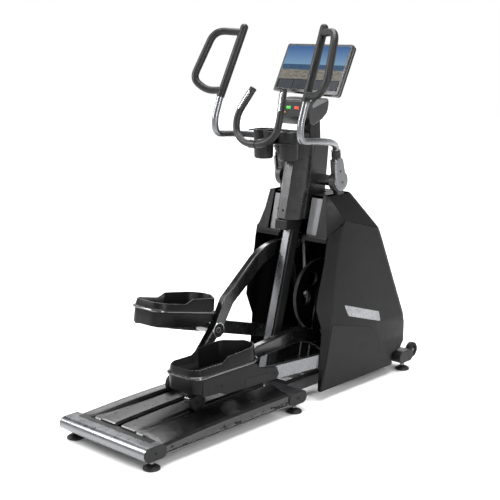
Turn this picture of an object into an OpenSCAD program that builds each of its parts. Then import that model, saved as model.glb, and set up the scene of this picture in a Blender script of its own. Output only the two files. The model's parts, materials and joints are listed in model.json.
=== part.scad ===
// Elliptical trainer, front drive, with rollers on two slotted tracks.
// X points forward to the console, Y to the user's left, Z up. The floor is z = 0.
// The origin is on the floor at the centre of the overall box. Units are millimetres.
// The right pedal is modelled at the bottom of its travel and the left one at the top.

/* [Base] */
// Half the spacing of the levelling feet across the machine
foot_half_span = 242; // [235:1:250]
// Height of the oval cross tubes
oval_h = 60; // [54:1:64]
// Width of the oval cross tubes along the machine
oval_w = 120; // [110:1:124]
// Centre of the rear cross tube along the machine
rear_x = -888; // [-895:1:-880]
// Centre of the middle cross tube along the machine
mid_x = -16; // [-20:1:-10]
// Centre of the front cross tube along the machine
front_x = 834; // [830:1:840]
// Height of the cross tubes' centre lines
tube_z = 72; // [70:1:76]
// Distance of each running rail from the middle plane
rail_y = 131; // [130:1:132]

/* [Drive] */
// Crank axle along the machine
crank_x = 430; // [425:1:435]
// Crank axle above the floor
crank_z = 433; // [430:1:436]
// Radius of the big drive pulley
pulley_r = 175; // [150:1:185]
// Radius of the flywheel
flywheel_r = 138; // [120:1:142]
// Flywheel axle along the machine
flywheel_x = 620; // [615:1:625]
// Flywheel axle above the floor
flywheel_z = 262; // [258:1:268]

/* [Arms] */
// Handlebar pivot along the machine
pivot_x = 370; // [368:1:372]
// Handlebar pivot above the floor
pivot_z = 1012; // [1010:1:1014]
// Lower end of the swing arm along the machine
foot_x = 540; // [538:1:542]
// Lower end of the swing arm above the floor
foot_z = 165; // [163:1:167]
// Middle plane of the swing arms
arm_y = 165; // [164:1:166]

/* [Pedals] */
// Middle plane of the pedal beams
beam_y = 205; // [204:1:206]
// Depth of the pedal beams
beam_h = 62; // [56:1:64]
// Thickness of the pedal beams
beam_t = 24; // [22:1:25]
// Middle plane of the bent links
link_y = 80; // [79:1:81]
// Distance from the lower arm pivot to the link pivot
ring_reach = 767; // [765:1:769]
// Radius of the rollers
roller_r = 40; // [38:1:41]

/* [Console] */
// Console width
console_w = 396; // [380:1:410]
// Console height along its tilted face
console_h = 256; // [240:1:262]
// Tilt of the console from upright, in degrees
console_tilt = 27.5; // [25:0.5:30]

/* [Hidden] */
$fn = 48;

fit = 0.05;        // radial running clearance of pins and bores
gap = 0.4;         // clearance between pieces that only face each other
wall = 5;          // wall of the moulded covers and shells

// Heights and angles that follow from the pivots
roller_z = 156;
ring_high = 368;
ring_low = 214.5;
high_slope = asin((ring_high - foot_z) / ring_reach);
low_slope = asin((ring_low - foot_z) / ring_reach);
lift = high_slope - low_slope;
// Link points about its pivot, in the high position: roller, bend, knee, crank end
link_path = [[-217, -212], [75, 120.5], [330, 314], [600, 332]];
link_foot = norm(link_path[0]);
link_turn = asin((ring_high - roller_z) / link_foot) - asin((ring_low - roller_z) / link_foot);
roller_dip = 6.3;  // room under the rollers, which dip a little in mid-stroke
ring_low_x = foot_x - ring_reach * cos(low_slope);
ring_high_x = foot_x - ring_reach * cos(high_slope);
crank_pin = [ring_high_x + link_path[3][0] - crank_x, ring_high + link_path[3][1] - crank_z];

charcoal = "#2b2c2e";
gloss_black = "#141516";
silver = "#b9babb";
steel_grey = "#7d8084";
rubber_black = "#1b1b1c";
chrome_grey = "#d5d7d9";

// ---------- helpers ----------

function unit(v) = v / norm(v);

function tangent(p, i) = unit(p[min(i + 1, len(p) - 1)] - p[max(i - 1, 0)]);

function ring_of(p, i, section, across) =
    let (t = tangent(p, i), n = unit(cross(across, t)), b = cross(t, n))
    [for (s = section) p[i] + s[0] * n + s[1] * b];

// Rounds the corners of a polyline over the distance d, with n points to a corner
function filleted(p, d, n = 6) = concat([p[0]],
    [for (i = [1 : len(p) - 2])
        let (a = p[i] - d * unit(p[i] - p[i - 1]), c = p[i] + d * unit(p[i + 1] - p[i]))
        each [for (k = [0 : n]) let (t = k / n) (1 - t) * (1 - t) * a + 2 * t * (1 - t) * p[i] + t * t * c]],
    [p[len(p) - 1]]);

function round_section(r, sides) = [for (k = [0 : sides - 1]) r * [cos(360 * k / sides), sin(360 * k / sides)]];

// A rectangle of h by w with cut corners
function box_section(h, w, c) = let (a = h / 2, b = w / 2)
    [[a, b - c], [a - c, b], [c - a, b], [-a, b - c], [-a, c - b], [c - a, -b], [a - c, -b], [a, c - b]];

// Sweeps a section along a path; "across" is never parallel to the path
module sweep(p, section, across) {
    n = len(section);
    m = len(p);
    points = [for (i = [0 : m - 1]) each ring_of(p, i, section, across)];
    sides = [for (i = [0 : m - 2]) for (k = [0 : n - 1])
        [i * n + k, (i + 1) * n + k, (i + 1) * n + (k + 1) % n, i * n + (k + 1) % n]];
    ends = [[for (k = [0 : n - 1]) k], [for (k = [0 : n - 1]) m * n - 1 - k]];
    polyhedron(points = points, faces = concat(sides, ends), convexity = 6);
}

// Extrudes an outline given in X and Z from y0 to y1
module plate(outline, y0, y1) {
    translate([0, y1, 0]) rotate([90, 0, 0]) linear_extrude(y1 - y0) polygon(outline);
}

// Extrudes an outline given in Y and Z from x0 to x1
module bar(outline, x0, x1) {
    translate([x0, 0, 0]) rotate([90, 0, 90]) linear_extrude(x1 - x0) polygon(outline);
}

module disc_y(x, z, y0, y1, r) {
    translate([x, y1, z]) rotate([90, 0, 0]) cylinder(h = y1 - y0, r = r);
}

module box(a, b) {
    translate(a) cube(b - a);
}

// Shrinks an outline about a centre by about d
function shrunk(p, c, d, half_x, half_z) =
    [for (q = p) [c[0] + (q[0] - c[0]) * (1 - d / half_x), c[1] + (q[1] - c[1]) * (1 - d / half_z)]];

module left_of(right = true) {
    if (right) children();
    else mirror([0, 1, 0]) children();
}

// Turns a piece from the low position about the lower arm pivot
module lifted(right) {
    if (right) children();
    else translate([foot_x, 0, foot_z]) rotate([0, lift, 0]) translate([-foot_x, 0, -foot_z]) children();
}

// Places a link drawn about its pivot in the high position
module at_ring(right) {
    if (right) translate([ring_low_x, 0, ring_low]) rotate([0, link_turn, 0]) children();
    else translate([ring_high_x, 0, ring_high]) children();
}

// ---------- base ----------

module oval_tube(x, half_len) {
    translate([x, half_len, tube_z]) rotate([90, 0, 0])
        linear_extrude(2 * half_len) difference() {
            oval_outline(oval_w, oval_h);
            oval_outline(oval_w - 8, oval_h - 8);
        }
}

module oval_outline(w, h) {
    square([w - h, h], center = true);
    for (s = [-1, 1]) translate([s * (w - h) / 2, 0]) circle(d = h);
}

module oval_block(x, y0, y1, grow = 0) {
    translate([x, y1, tube_z]) rotate([90, 0, 0])
        linear_extrude(y1 - y0) oval_outline(oval_w + 2 * grow, oval_h + 2 * grow);
}

module stem_holes(x) {
    for (s = [-1, 1]) translate([x, s * foot_half_span, 0]) cylinder(h = tube_z, r = 6 + fit);
}

module rear_tube() {
    color(silver) difference() {
        oval_tube(rear_x, 265);
        stem_holes(rear_x);
    }
}

module mid_tube() {
    color(steel_grey) difference() {
        oval_tube(mid_x, 262);
        stem_holes(mid_x);
    }
}

module front_tube() {
    color(charcoal) {
        difference() {
            oval_tube(front_x, 262);
            stem_holes(front_x);
            // notches for the transport wheels
            for (s = [-1, 1]) disc_y(wheel_x, wheel_z, s * (foot_half_span + 2) - 17, s * (foot_half_span + 2) + 20, 43);
        }
        for (s = [-1, 1]) difference() {
            plate([[front_x + 52, 62], [wheel_x + 14, 70], [wheel_x + 14, 102], [front_x + 46, 92]],
                s * foot_half_span - 3 - s * 22, s * foot_half_span + 3 - s * 22);
            disc_y(wheel_x, wheel_z, -300, 300, 5 + fit);
        }
    }
}

module tube_caps() {
    cap = 6;
    color(rubber_black) for (t = [[rear_x, 265], [mid_x, 262], [front_x, 262]]) for (s = [-1, 1])
        oval_block(t[0], s > 0 ? t[1] + 0.1 : -t[1] - cap, s > 0 ? t[1] + cap : -t[1] - 0.1);
}

long_lo = 45;
long_hi = 96;

module base_frame() {
    color(charcoal) difference() {
        union() {
            for (s = [-1, 1]) box([rear_x, s * rail_y - 20, long_lo], [front_x, s * rail_y + 20, long_hi]);
            box([5, -rail_y, long_lo], [75, rail_y, long_hi]);
            box([330, -rail_y, long_lo], [380, rail_y, long_hi]);
            box([640, -rail_y, long_lo], [690, rail_y, long_hi]);
            for (x = [-700, -420]) box([x, -rail_y, long_lo], [x + 40, rail_y, long_lo + 13]);
            for (x = [-720, -400, -150]) for (s = [-1, 1])
                box([x, s > 0 ? rail_y : -247, long_lo + 6], [x + 30, s > 0 ? 247 : -rail_y, long_lo + 36]);
        }
        for (x = [rear_x, mid_x, front_x]) oval_block(x, -300, 300, 0.2);
    }
}

// Half of the track cover's outer line in Y and Z, from the inner edge outwards
cover_line = [[12, 60], [12, 126], [21, 130], [80, 128], [139, 126], [210, 111], [256, 113], [261, 106], [261, 54]];
cover_x = [-852, -80];

module track_cover(right) {
    inner = [[17, 55], [17, 122], [23, 125], [79, 123], [138, 121], [209, 106], [253, 108], [256, 103], [256, 50]];
    color(gloss_black) left_of(right) mirror([0, 1, 0]) difference() {
        bar(cover_line, cover_x[0], cover_x[1]);
        bar(inner, cover_x[0] - 1, cover_x[1] - 6);
        // the slot that the roller runs in
        box([cover_x[0] + 34, rail_y - 18, 90], [cover_x[1] + 1, rail_y + 18, 140]);
        // room for the frame's cross pieces and the middle tube
        box([cover_x[1] - 12, rail_y - 24, 40], [cover_x[1] + 1, rail_y + 24, 115]);
        box([cover_x[0] - 8, 90, 40], [cover_x[0] + 20, 170, 98]);
        oval_block(rear_x, -300, 300, gap);
    }
}

module track_rails() {
    top = roller_z - roller_r - roller_dip;
    color(silver) for (s = [-1, 1])
        box([-815, s * rail_y - 17, long_hi + 0.1], [-95, s * rail_y + 17, top]);
}

// ---------- feet and transport wheels ----------

module levelling_foot(x, s) {
    color(rubber_black) translate([x, s * foot_half_span, 0]) {
        cylinder(h = 10, r = 36);
        translate([0, 0, 10]) cylinder(h = 10, r1 = 33, r2 = 16);
        translate([0, 0, 20]) cylinder(h = 46, r = 6);
        translate([0, 0, 24]) cylinder(h = 8, r = 11, $fn = 6);
    }
}

wheel_x = 908;
wheel_z = 88;

module transport_wheel(s) {
    y = s * (foot_half_span + 2);
    color(rubber_black) {
        difference() {
            disc_y(wheel_x, wheel_z, y - 14, y + 14, 40);
            for (e = [-1, 1]) disc_y(wheel_x, wheel_z, y + e * 14 - 4, y + e * 14 + 4, 24);
        }
        disc_y(wheel_x, wheel_z, s > 0 ? y - 28 : y - 12, s > 0 ? y + 12 : y + 28, 5);
    }
}

// ---------- post, mast and casing ----------

post_base = [39, 97];
post_slope = 0.2695;

function post_x(z) = post_base[0] + post_slope * (z - post_base[1]);

module upright_post() {
    shaft_hole = 26;
    color(silver) difference() {
        union() {
            post_core(long_hi, 1186, 0);
            for (s = [-1, 1]) plate([[post_x(1110), 1110], [pivot_x + 36, pivot_z + 34],
                [pivot_x + 36, pivot_z - 34], [post_x(930), 930]], s > 0 ? 19 : -27, s > 0 ? 27 : -19);
        }
        disc_y(pivot_x, pivot_z, -40, 40, shaft_hole);
        oval_block(mid_x, -300, 300, 0.3);
    }
}

// The mast cover: a narrow nose at the rear that widens forward, open inside
mast_lo = 838;
mast_hi = 1186;

function nose_x(z) = 170 + 0.229 * (z - 861);

function mast_outline(z, d) = let (x = nose_x(z), front = x + 232 - 0.12 * (z - mast_lo) - d)
    [[x + d, -26 + d], [x + d, 26 - d], [x + 46, 72 - d], [front, 72 - d], [front, -72 + d], [x + 46, -72 + d]];

module mast_block(z0, z1, grow) {
    hull() for (z = [z0, z1])
        translate([0, 0, z == z0 ? z : z - 1]) linear_extrude(1) polygon(mast_outline(z, grow));
}

module mast_cover() {
    color(gloss_black) difference() {
        mast_block(mast_lo, mast_hi, 0);
        mast_block(mast_lo - 2, mast_hi - wall, wall);
        disc_y(pivot_x, pivot_z, -100, 100, 29);
        post_core(1150, 1200, 0.3);
    }
}

// The post's own square section between two heights, grown by d
module post_core(z0, z1, d) {
    half = 19 + d;
    plate([[post_x(z0) - half, z0], [post_x(z1) - half, z1], [post_x(z1) + half, z1], [post_x(z0) + half, z0]], -half, half);
}

module post_collar() {
    color(charcoal) difference() {
        plate([[nose_x(790) + 2, 790], [nose_x(837) - 4, 837.6], [post_x(837) + 44, 837.6], [post_x(790) + 36, 790]], -36, 36);
        post_core(780, 850, 0.3);
    }
}

// Side outline of the casing in X and Z
casing_low = [[150, 50], [178, 330], [168, 420], [236, 640], [262, 760], [270, 800], [606, 800], [647, 724],
    [850, 300], [862, 250], [862, 140], [835, 118], [765, 112], [765, 50]];
casing_top_z = 952;
casing_top_x = [285, 466];
casing_top_half = 192;
casing_half = 240;

module casing_solid(d) {
    low = shrunk(casing_low, [480, 420], d, 360, 375);
    plate(low, d - casing_half, casing_half - d);
    // upper part, drawn in to a narrower top
    a = [[270 + d, 799 - d], [606 - d, 799 - d]];
    b = [[casing_top_x[0] + d, casing_top_z - d], [casing_top_x[1] - d, casing_top_z - d]];
    hull() {
        plate([a[0], a[1], [a[1][0], a[1][1] + 0.5], [a[0][0], a[0][1] + 0.5]], d - casing_half, casing_half - d);
        plate([[b[0][0], b[0][1] - 0.5], [b[1][0], b[1][1] - 0.5], b[1], b[0]], d - casing_top_half, casing_top_half - d);
    }
}

module casing_side(right) {
    color(charcoal) left_of(right) intersection() {
        difference() {
            casing_solid(0);
            casing_solid(wall);
            // open rear between the side walls
            box([100, -218, 40], [330, 218, 745]);
            // room for the rails at the front
            box([740, -rail_y - 21, 40], [775, -rail_y + 21, long_hi + 1]);
            // open bottom
            box([150, -casing_half + wall, 40], [760, casing_half - wall, 60]);
            // room for the mast and the cowl beside it
            box([190, -150, 740], [368, 150, 960]);
            box([300, -88, 850], [460, 88, 960]);
            // slots that the swing arms pass through
            for (s = [-1, 1]) box([308, s * arm_y - 21, 900], [460, s * arm_y + 21, 960]);
        }
        box([100, -casing_half - 1, 0], [900, -0.3, 1000]);
    }
}

module rear_cowl() {
    color(steel_grey) for (s = [-1, 1])
        plate([[246, 752], [256, 752], [300, 934], [290, 934]], s > 0 ? 80 : -148, s > 0 ? 148 : -80);
}

module pivot_shaft() {
    color(steel_grey) {
        disc_y(pivot_x, pivot_z, -148, 148, 25.8);
        for (s = [-1, 1]) disc_y(pivot_x, pivot_z, s > 0 ? 148 : -184, s > 0 ? 184 : -148, 15);
    }
}

// ---------- drive ----------

// Draws its children once on each side of the middle plane
module both_sides() {
    children();
    mirror([0, 1, 0]) children();
}

module drive_frame() {
    color(steel_grey) {
        both_sides() difference() {
            union() {
                plate([[330, long_hi], [380, long_hi], [crank_x + 30, crank_z + 30], [crank_x - 30, crank_z + 30]], 23, 31);
                disc_y(crank_x, crank_z, 23, 34, 38);
            }
            disc_y(crank_x, crank_z, -50, 50, axle_r + fit);
        }
        both_sides() difference() {
            union() {
                plate([[645, long_hi], [685, long_hi], [flywheel_x + 22, flywheel_z + 22], [flywheel_x - 22, flywheel_z + 22]],
                    27, 34);
                disc_y(flywheel_x, flywheel_z, 27, 34, 28);
            }
            disc_y(flywheel_x, flywheel_z, -60, 60, flywheel_axle_r + fit);
        }
        // arm that carries the idler
        difference() {
            union() {
                plate([[365, 140], [380, 215], idler + [0, 15], idler - [0, 15]], -31, -23);
                disc_y(idler[0], idler[1], -31, -23, 15);
            }
            disc_y(idler[0], idler[1], -60, 0, idler_axle_r + fit);
        }
    }
}

axle_r = 15;
flywheel_axle_r = 10;
idler_axle_r = 6;
idler_r = 26;
small_pulley_r = 30;
belt_y = [-20, -2];
belt_t = 3.5;

// The belt's lower run: its direction square to the run, and the idler's centre below it
belt_span = [flywheel_x - crank_x, flywheel_z - crank_z];
belt_turn = acos((pulley_r - small_pulley_r) / norm(belt_span));
belt_down = let (t = atan2(belt_span[1], belt_span[0]) - belt_turn) [cos(t), sin(t)];
idler = [crank_x, crank_z] + 0.45 * belt_span
    + (0.55 * pulley_r + 0.45 * small_pulley_r + belt_t + gap + idler_r) * belt_down;

// The belt's outline round both pulleys, grown by d
function belt_outline(d) = let (base = atan2(belt_span[1], belt_span[0]))
    concat([for (k = [0 : 36]) let (t = base + belt_turn + (360 - 2 * belt_turn) * k / 36)
            [crank_x, crank_z] + (pulley_r + d) * [cos(t), sin(t)]],
        [for (k = [0 : 12]) let (t = base - belt_turn + 2 * belt_turn * k / 12)
            [flywheel_x, flywheel_z] + (small_pulley_r + d) * [cos(t), sin(t)]]);

module drive_belt() {
    color(rubber_black) translate([0, belt_y[1], 0]) rotate([90, 0, 0]) linear_extrude(belt_y[1] - belt_y[0])
        difference() {
            polygon(belt_outline(belt_t));
            polygon(belt_outline(0.8));
        }
}

hub_r = 20;

module drive_pulley() {
    color(gloss_black) difference() {
        disc_y(crank_x, crank_z, belt_y[0], belt_y[1], pulley_r);
        for (k = [0 : 5]) translate([crank_x, 0, crank_z]) rotate([0, 60 * k, 0])
            translate([pulley_r * 0.58, 0, 0]) disc_y(0, 0, -30, 10, pulley_r * 0.2);
        disc_y(crank_x, crank_z, -30, 10, hub_r + fit);
    }
}

module crankset() {
    color(silver) {
        disc_y(crank_x, crank_z, -56, 56, axle_r);
        disc_y(crank_x, crank_z, belt_y[0], belt_y[1], hub_r);
        for (s = [-1, 1]) {
            q = [crank_x + s * crank_pin[0], crank_z + s * crank_pin[1]];
            plate([[crank_x - 30, crank_z + 4], [crank_x + 30, crank_z - 4], [q[0] + 20, q[1]], [q[0] - 20, q[1]]],
                s > 0 ? 38 : -54, s > 0 ? 54 : -38);
            disc_y(crank_x, crank_z, s > 0 ? 38 : -54, s > 0 ? 54 : -38, 34);
            disc_y(q[0], q[1], s > 0 ? 38 : -58, s > 0 ? 58 : -38, 24);
        }
    }
}

flywheel_y = [2, 22];

module flywheel() {
    web = 5;
    color(steel_grey) {
        difference() {
            disc_y(flywheel_x, flywheel_z, flywheel_y[0], flywheel_y[1], flywheel_r);
            disc_y(flywheel_x, flywheel_z, flywheel_y[0] - 1, flywheel_y[0] + web, flywheel_r - 32);
            disc_y(flywheel_x, flywheel_z, flywheel_y[1] - web, flywheel_y[1] + 1, flywheel_r - 32);
            disc_y(flywheel_x, flywheel_z, -1, 40, hub_r);
        }
        disc_y(flywheel_x, flywheel_z, flywheel_y[0], flywheel_y[1], hub_r);
        disc_y(flywheel_x, flywheel_z, -35, 35, flywheel_axle_r);
        disc_y(flywheel_x, flywheel_z, belt_y[0], belt_y[1], small_pulley_r);
    }
}

module idler_pulley() {
    color(steel_grey) {
        disc_y(idler[0], idler[1], belt_y[0], belt_y[1], idler_r);
        disc_y(idler[0], idler[1], -35, belt_y[1], idler_axle_r);
    }
}

// A caliper round the flywheel's front edge, standing on the frame
module magnetic_brake() {
    color(charcoal) difference() {
        plate([[690, 97], [730, 97], [800, 200], [800, 330], [735, 350], [700, 300], [738, 262], [700, 190]],
            flywheel_y[0] - 4, flywheel_y[1] + 4);
        disc_y(flywheel_x, flywheel_z, flywheel_y[0] - 3, flywheel_y[1] + 3, flywheel_r + 3);
    }
}

module power_inlet() {
    color(rubber_black) difference() {
        box([862.2, -172, 158], [870, -128, 192]);
        box([865, -165, 164], [871, -135, 186]);
    }
}

// ---------- console ----------

module console_neck() {
    color(charcoal) difference() {
        plate([[334, 1186.3], [408, 1186.3], [400, 1340], [326, 1290]], -34, 34);
        plate(keypad_outline, -120, 120);
    }
}

// Side outline of the housing that carries the keys, from its rear lower corner
keypad_outline = [[262, 1270], [330, 1290], [378, 1328], [386, 1365], [384, 1396], [330, 1396], [262, 1392],
    [243, 1376], [246, 1300]];

module keypad_housing() {
    color(gloss_black) difference() {
        plate(keypad_outline, -98, 98);
        for (s = [-1, 1]) key_place(s) cube([20, 26 + 2 * gap, 13 + 2 * gap], center = true);
    }
}

key_y = 24;

module key_place(s) {
    translate([245, s * key_y, 1352]) rotate([0, 2.3, 0]) children();
}

module key(s, shade) {
    color(shade) key_place(s) translate([-1, 0, 0]) cube([10, 26, 13], center = true);
}

module start_key() { key(1, "#3fae3a"); }

module stop_key() { key(-1, "#d8432f"); }

console_foot = [336, 1416];
console_t = 34;
console_rim = 20;  // frame round the display

module on_console() {
    translate([console_foot[0], 0, console_foot[1]]) rotate([0, console_tilt, 0]) children();
}

module console_housing() {
    rim = console_rim;
    color(gloss_black) difference() {
        on_console() union() {
            translate([-14, -console_w / 2, -12]) cube([console_t, console_w, console_h]);
            translate([19, -120, 20]) cube([26, 240, console_h - 70]);
        }
        on_console() translate([-15, -console_w / 2 + rim - 0.3, rim - 12 - 0.3])
            cube([4, console_w - 2 * rim + 0.6, console_h - 2 * rim + 0.6]);
        plate([[200, 1380], [200, 1396.3], [500, 1396.3], [500, 1380]], -200, 200);
    }
}

module display() {
    rim = console_rim;
    color("#39424c") on_console() translate([-14, -console_w / 2 + rim, rim - 12])
        cube([2.7, console_w - 2 * rim, console_h - 2 * rim]);
}

// ---------- fixed handlebar and tray ----------

bar_r = 16;

function bar_half(s) = [[70, s * 92, 1442], [4, s * 130, 1326], [-13, s * 122, 1248], [-30, s * 55, 1206]];

module fixed_handlebar() {
    line = concat(bar_half(1), [for (k = [3 : -1 : 0]) bar_half(-1)[k]]);
    color(rubber_black) {
        sweep(filleted(line, 38), round_section(bar_r, 12), unit([1, 0, 0.42]));
        sweep([[-24, 0, 1208], [20, 0, 1212], [61.5, 0, 1214]], round_section(15, 12), [0, 1, 0]);
    }
}

module contact_plates() {
    color(chrome_grey) for (s = [-1, 1]) {
        a = bar_half(s)[0];
        b = bar_half(s)[1];
        out = unit([-0.87, 0, 0.48]) * (bar_r + 2.2);
        sweep([a + 0.12 * (b - a) + out, a + 0.82 * (b - a) + out], box_section(4, 17, 1.5), unit([0, 1, 0]));
    }
}

cup_x = 124;
cup_y = 75;
cup_r = 46;

module accessory_tray() {
    top = 1256;
    low = 1198;
    color(charcoal) difference() {
        union() {
            box([62, -126, low], [192, 126, top]);
            for (s = [-1, 1]) translate([cup_x, s * cup_y, 1120]) cylinder(h = 100, r1 = cup_r, r2 = cup_r + 2);
            // arm forward to the mast cover
            plate([[190, low], [nose_x(low) + 60, low], [nose_x(1186) + 60, 1186.4], [nose_x(1186) + 130, 1186.4],
                [nose_x(1186) + 96, top - 8], [190, top - 8]], -34, 34);
        }
        for (s = [-1, 1]) translate([cup_x, s * cup_y, 1126]) cylinder(h = 140, r = cup_r - 6);
        box([70, -24, 1206], [184, 24, 1260]);
        mast_block(1100, mast_hi + 0.3, -0.4);
        plate([[332.5, 1180], [332.5, 1188], [324, 1300], [420, 1300], [420, 1180]], -34.4, 34.4);
    }
}

// ---------- handlebars and swing arms ----------

// Right handlebar: pivot, outward run, corner, up to the lower end of the foam
tube_line = [[352, -172, 1124], [332, -184, 1182], [250, -222, 1208], [150, -250, 1222], [-6, -256, 1232],
    [-12, -258, 1300], [25, -257, 1400]];
tube_r = 15.5;
// Foam: straight grip, and the loop from near its top, out, down and back
grip_line = [[25.4, -257, 1401.2], [169, -238, 1716]];
foam_line = [[158, -240, 1692], [97, -360, 1700], [-12, -400, 1478], [10, -330, 1428], [36, -255, 1430]];
foam_r = 18;

module handle(right) {
    color(silver) left_of(right)
        sweep(filleted(tube_line, 26), round_section(tube_r, 14), unit([0.15, 1, 0.1]));
}

module grip(right) {
    color(rubber_black) left_of(right) {
        sweep(grip_line, round_section(foam_r, 16), [0, 1, 0]);
        translate(grip_line[1]) sphere(r = foam_r, $fn = 20);
        sweep(filleted(foam_line, 36, 7), round_section(foam_r - 1, 14), unit([0.83, -0.12, -0.5]));
    }
}

arm_top = [352, 1116];

module swing_arm(right) {
    lean = [foot_x - pivot_x, foot_z - pivot_z];
    side = unit([-lean[1], lean[0]]) * 22;
    a = [pivot_x, pivot_z];
    b = [foot_x, foot_z];
    color(steel_grey) left_of(right) difference() {
        union() {
            disc_y(a[0], a[1], -arm_y - 15, -arm_y + 15, 48);
            disc_y(b[0], b[1], -arm_y - 15, -arm_y + 15, 30);
            plate([a + side, a - side, b - side, b + side], -arm_y - 15, -arm_y + 15);
            plate([[arm_top[0] - 20, arm_top[1]], [arm_top[0] + 20, arm_top[1]], [pivot_x + 26, pivot_z], [pivot_x - 26, pivot_z]],
                -arm_y - 15, -arm_y + 15);
        }
        disc_y(a[0], a[1], -200, -100, 15 + fit);
        disc_y(b[0], b[1], -200, -100, 12 + fit);
    }
}

module pivot_cover(right) {
    r = 31;
    a = [pivot_x, pivot_z];
    b = [arm_top[0] + 4, arm_top[1] - r];
    n = unit([a[1] - b[1], b[0] - a[0]]) * r;
    lo = -arm_y - 29;
    hi = -arm_y - 15.1;
    color(silver) left_of(right) difference() {
        union() {
            disc_y(a[0], a[1], lo, hi, r);
            disc_y(b[0], b[1], lo, hi, r);
            plate([a + n, b + n, b - n, a - n], lo, hi);
        }
        disc_y(pivot_x, pivot_z, -arm_y - 22, -arm_y - 10, 16);
    }
}

// The block at the swing arm's lower end that keeps the beam's pivot level
module arm_block(right) {
    color(charcoal) left_of(right) {
        disc_y(foot_x, foot_z, -beam_y - beam_t / 2 - 8, -arm_y + 16, 12);
        disc_y(foot_x, foot_z, -beam_y - beam_t / 2 - 9, -beam_y - beam_t / 2 - 4, 26);
    }
}

// ---------- pedals ----------

module beam(right) {
    rear = -400;
    slope = tan(low_slope);
    function line(x, d) = [x, foot_z + (foot_x - x) * slope + d];
    h = beam_h / 2;
    color(silver) left_of(right) lifted(right) difference() {
        union() {
            plate([line(rear, -h), line(foot_x - 20, -h), line(foot_x - 20, h), line(rear, h)],
                -beam_y - beam_t / 2, -beam_y + beam_t / 2);
            disc_y(foot_x, foot_z, -beam_y - beam_t / 2, -beam_y + beam_t / 2, 34);
            // the shaft inward to the link, with its collar
            disc_y(ring_low_x, ring_low, -beam_y + beam_t / 2, -link_y + 24, shaft_r);
            disc_y(ring_low_x, ring_low, -beam_y + beam_t / 2, -link_y - 24, 24);
        }
        disc_y(foot_x, foot_z, -230, -180, 12 + fit);
    }
}

pedal_y = [42, 234];
pedal_x = [-626, -224];
rim_z = 300;
floor_z = 258;
wall_rear_z = 333;   // top of the low wall round the heel
wall_front_z = 356;  // top of the higher wall round the toes
wall_step_x = -445;

// Plan outline of the pedal tray, drawn in by d all round
function pedal_outline(d) = let (x0 = pedal_x[0] + d, x1 = pedal_x[1] - d, a = -pedal_y[0] - d, b = -pedal_y[1] + d, c = 52)
    [[x0, a - c], [x0 + c * 0.6, a], [x1 - c, a], [x1, a - c * 0.8], [x1, b + c * 0.8], [x1 - c, b], [x0 + c, b], [x0, b + c]];

module tray_block(d, z0, z1) {
    translate([0, 0, z0]) linear_extrude(z1 - z0) polygon(pedal_outline(d));
}

// Room in the pedal's inner front corner for the link
module link_room(top) {
    box([-250, -106, 150], [-150, -50, top]);
}

module pedal(right) {
    t = beam_t / 2 + gap;
    color(charcoal) left_of(right) lifted(right) difference() {
        union() {
            tray_block(0, rim_z - 7, rim_z);
            tray_block(6, 228, wall_rear_z);
            intersection() {
                tray_block(6, rim_z, wall_front_z);
                plate([[wall_step_x, rim_z - 1], [wall_step_x + 30, wall_front_z + 1], [0, wall_front_z + 1], [0, rim_z - 1]],
                    -240, 0);
            }
            // side cover over the beam
            plate([[-560, 196], [-120, 182], [-108, 206], [-122, 236], [-250, 262], [-560, 262]], -234, -beam_y - t);
        }
        tray_block(12, floor_z, wall_front_z + 1);
        // channel for the beam, and the hollow under the floor
        plate([[-401, 150], [0, 150], [0, 236], [-401, 257.5]], -beam_y - t, -beam_y + t);
        plate([[-614, 200], [-236, 200], [-236, 250], [-614, 250]], -beam_y + t + 4, -54);
        // room for the link and for the shaft it turns on
        link_room(wall_front_z + 1);
        box([-262, -194, 150], [-200, -50, 243]);
    }
}

module foot_pad(right) {
    color(rubber_black) left_of(right) lifted(right) difference() {
        translate([0, 0, floor_z + 0.1]) linear_extrude(7) polygon(pedal_outline(15));
        link_room(rim_z);
    }
}

// Outline of a strip of width w along a line
function strip(line, w) = let (m = len(line) - 1,
    n = [for (i = [0 : m]) let (t = tangent(line, i)) [-t[1], t[0]] * w / 2])
    concat([for (i = [0 : m]) line[i] + n[i]], [for (i = [m : -1 : 0]) line[i] - n[i]]);

shaft_r = 14;
roller_axle_r = 8;

module link(right) {
    wheel = link_path[0];
    eye = link_path[3];
    upper = filleted([link_path[1], link_path[2], eye], 90);
    across = unit([-wheel[1], wheel[0]]);
    color(gloss_black) left_of(right) translate([0, -link_y, 0]) at_ring(right) difference() {
        union() {
            plate(strip(upper, 72), -20, 20);
            plate(strip([[0, 0], link_path[1]], 52), -20, 20);
            plate([26 * across, wheel + 15 * across, wheel - 15 * across, -26 * across], -20, 20);
            disc_y(0, 0, -20, 20, 38);
            disc_y(link_path[1][0], link_path[1][1], -20, 20, 37.5);
            disc_y(eye[0], eye[1], -20, 20, 38);
            disc_y(wheel[0], wheel[1], -20, 20, 16);
        }
        disc_y(0, 0, -30, 30, shaft_r + fit);
        disc_y(eye[0], eye[1], -30, 30, 20);
        disc_y(wheel[0], wheel[1], -30, 30, roller_axle_r + fit);
    }
}

module roller(right) {
    wheel = link_path[0];
    out = rail_y - link_y;
    color(rubber_black) left_of(right) translate([0, -link_y, 0]) at_ring(right) {
        difference() {
            disc_y(wheel[0], wheel[1], -out - 13, -out + 13, roller_r);
            disc_y(wheel[0], wheel[1], -out - 14, -out - 9, roller_r - 14);
        }
        disc_y(wheel[0], wheel[1], -out + 13, 22, roller_axle_r);
    }
}

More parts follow.
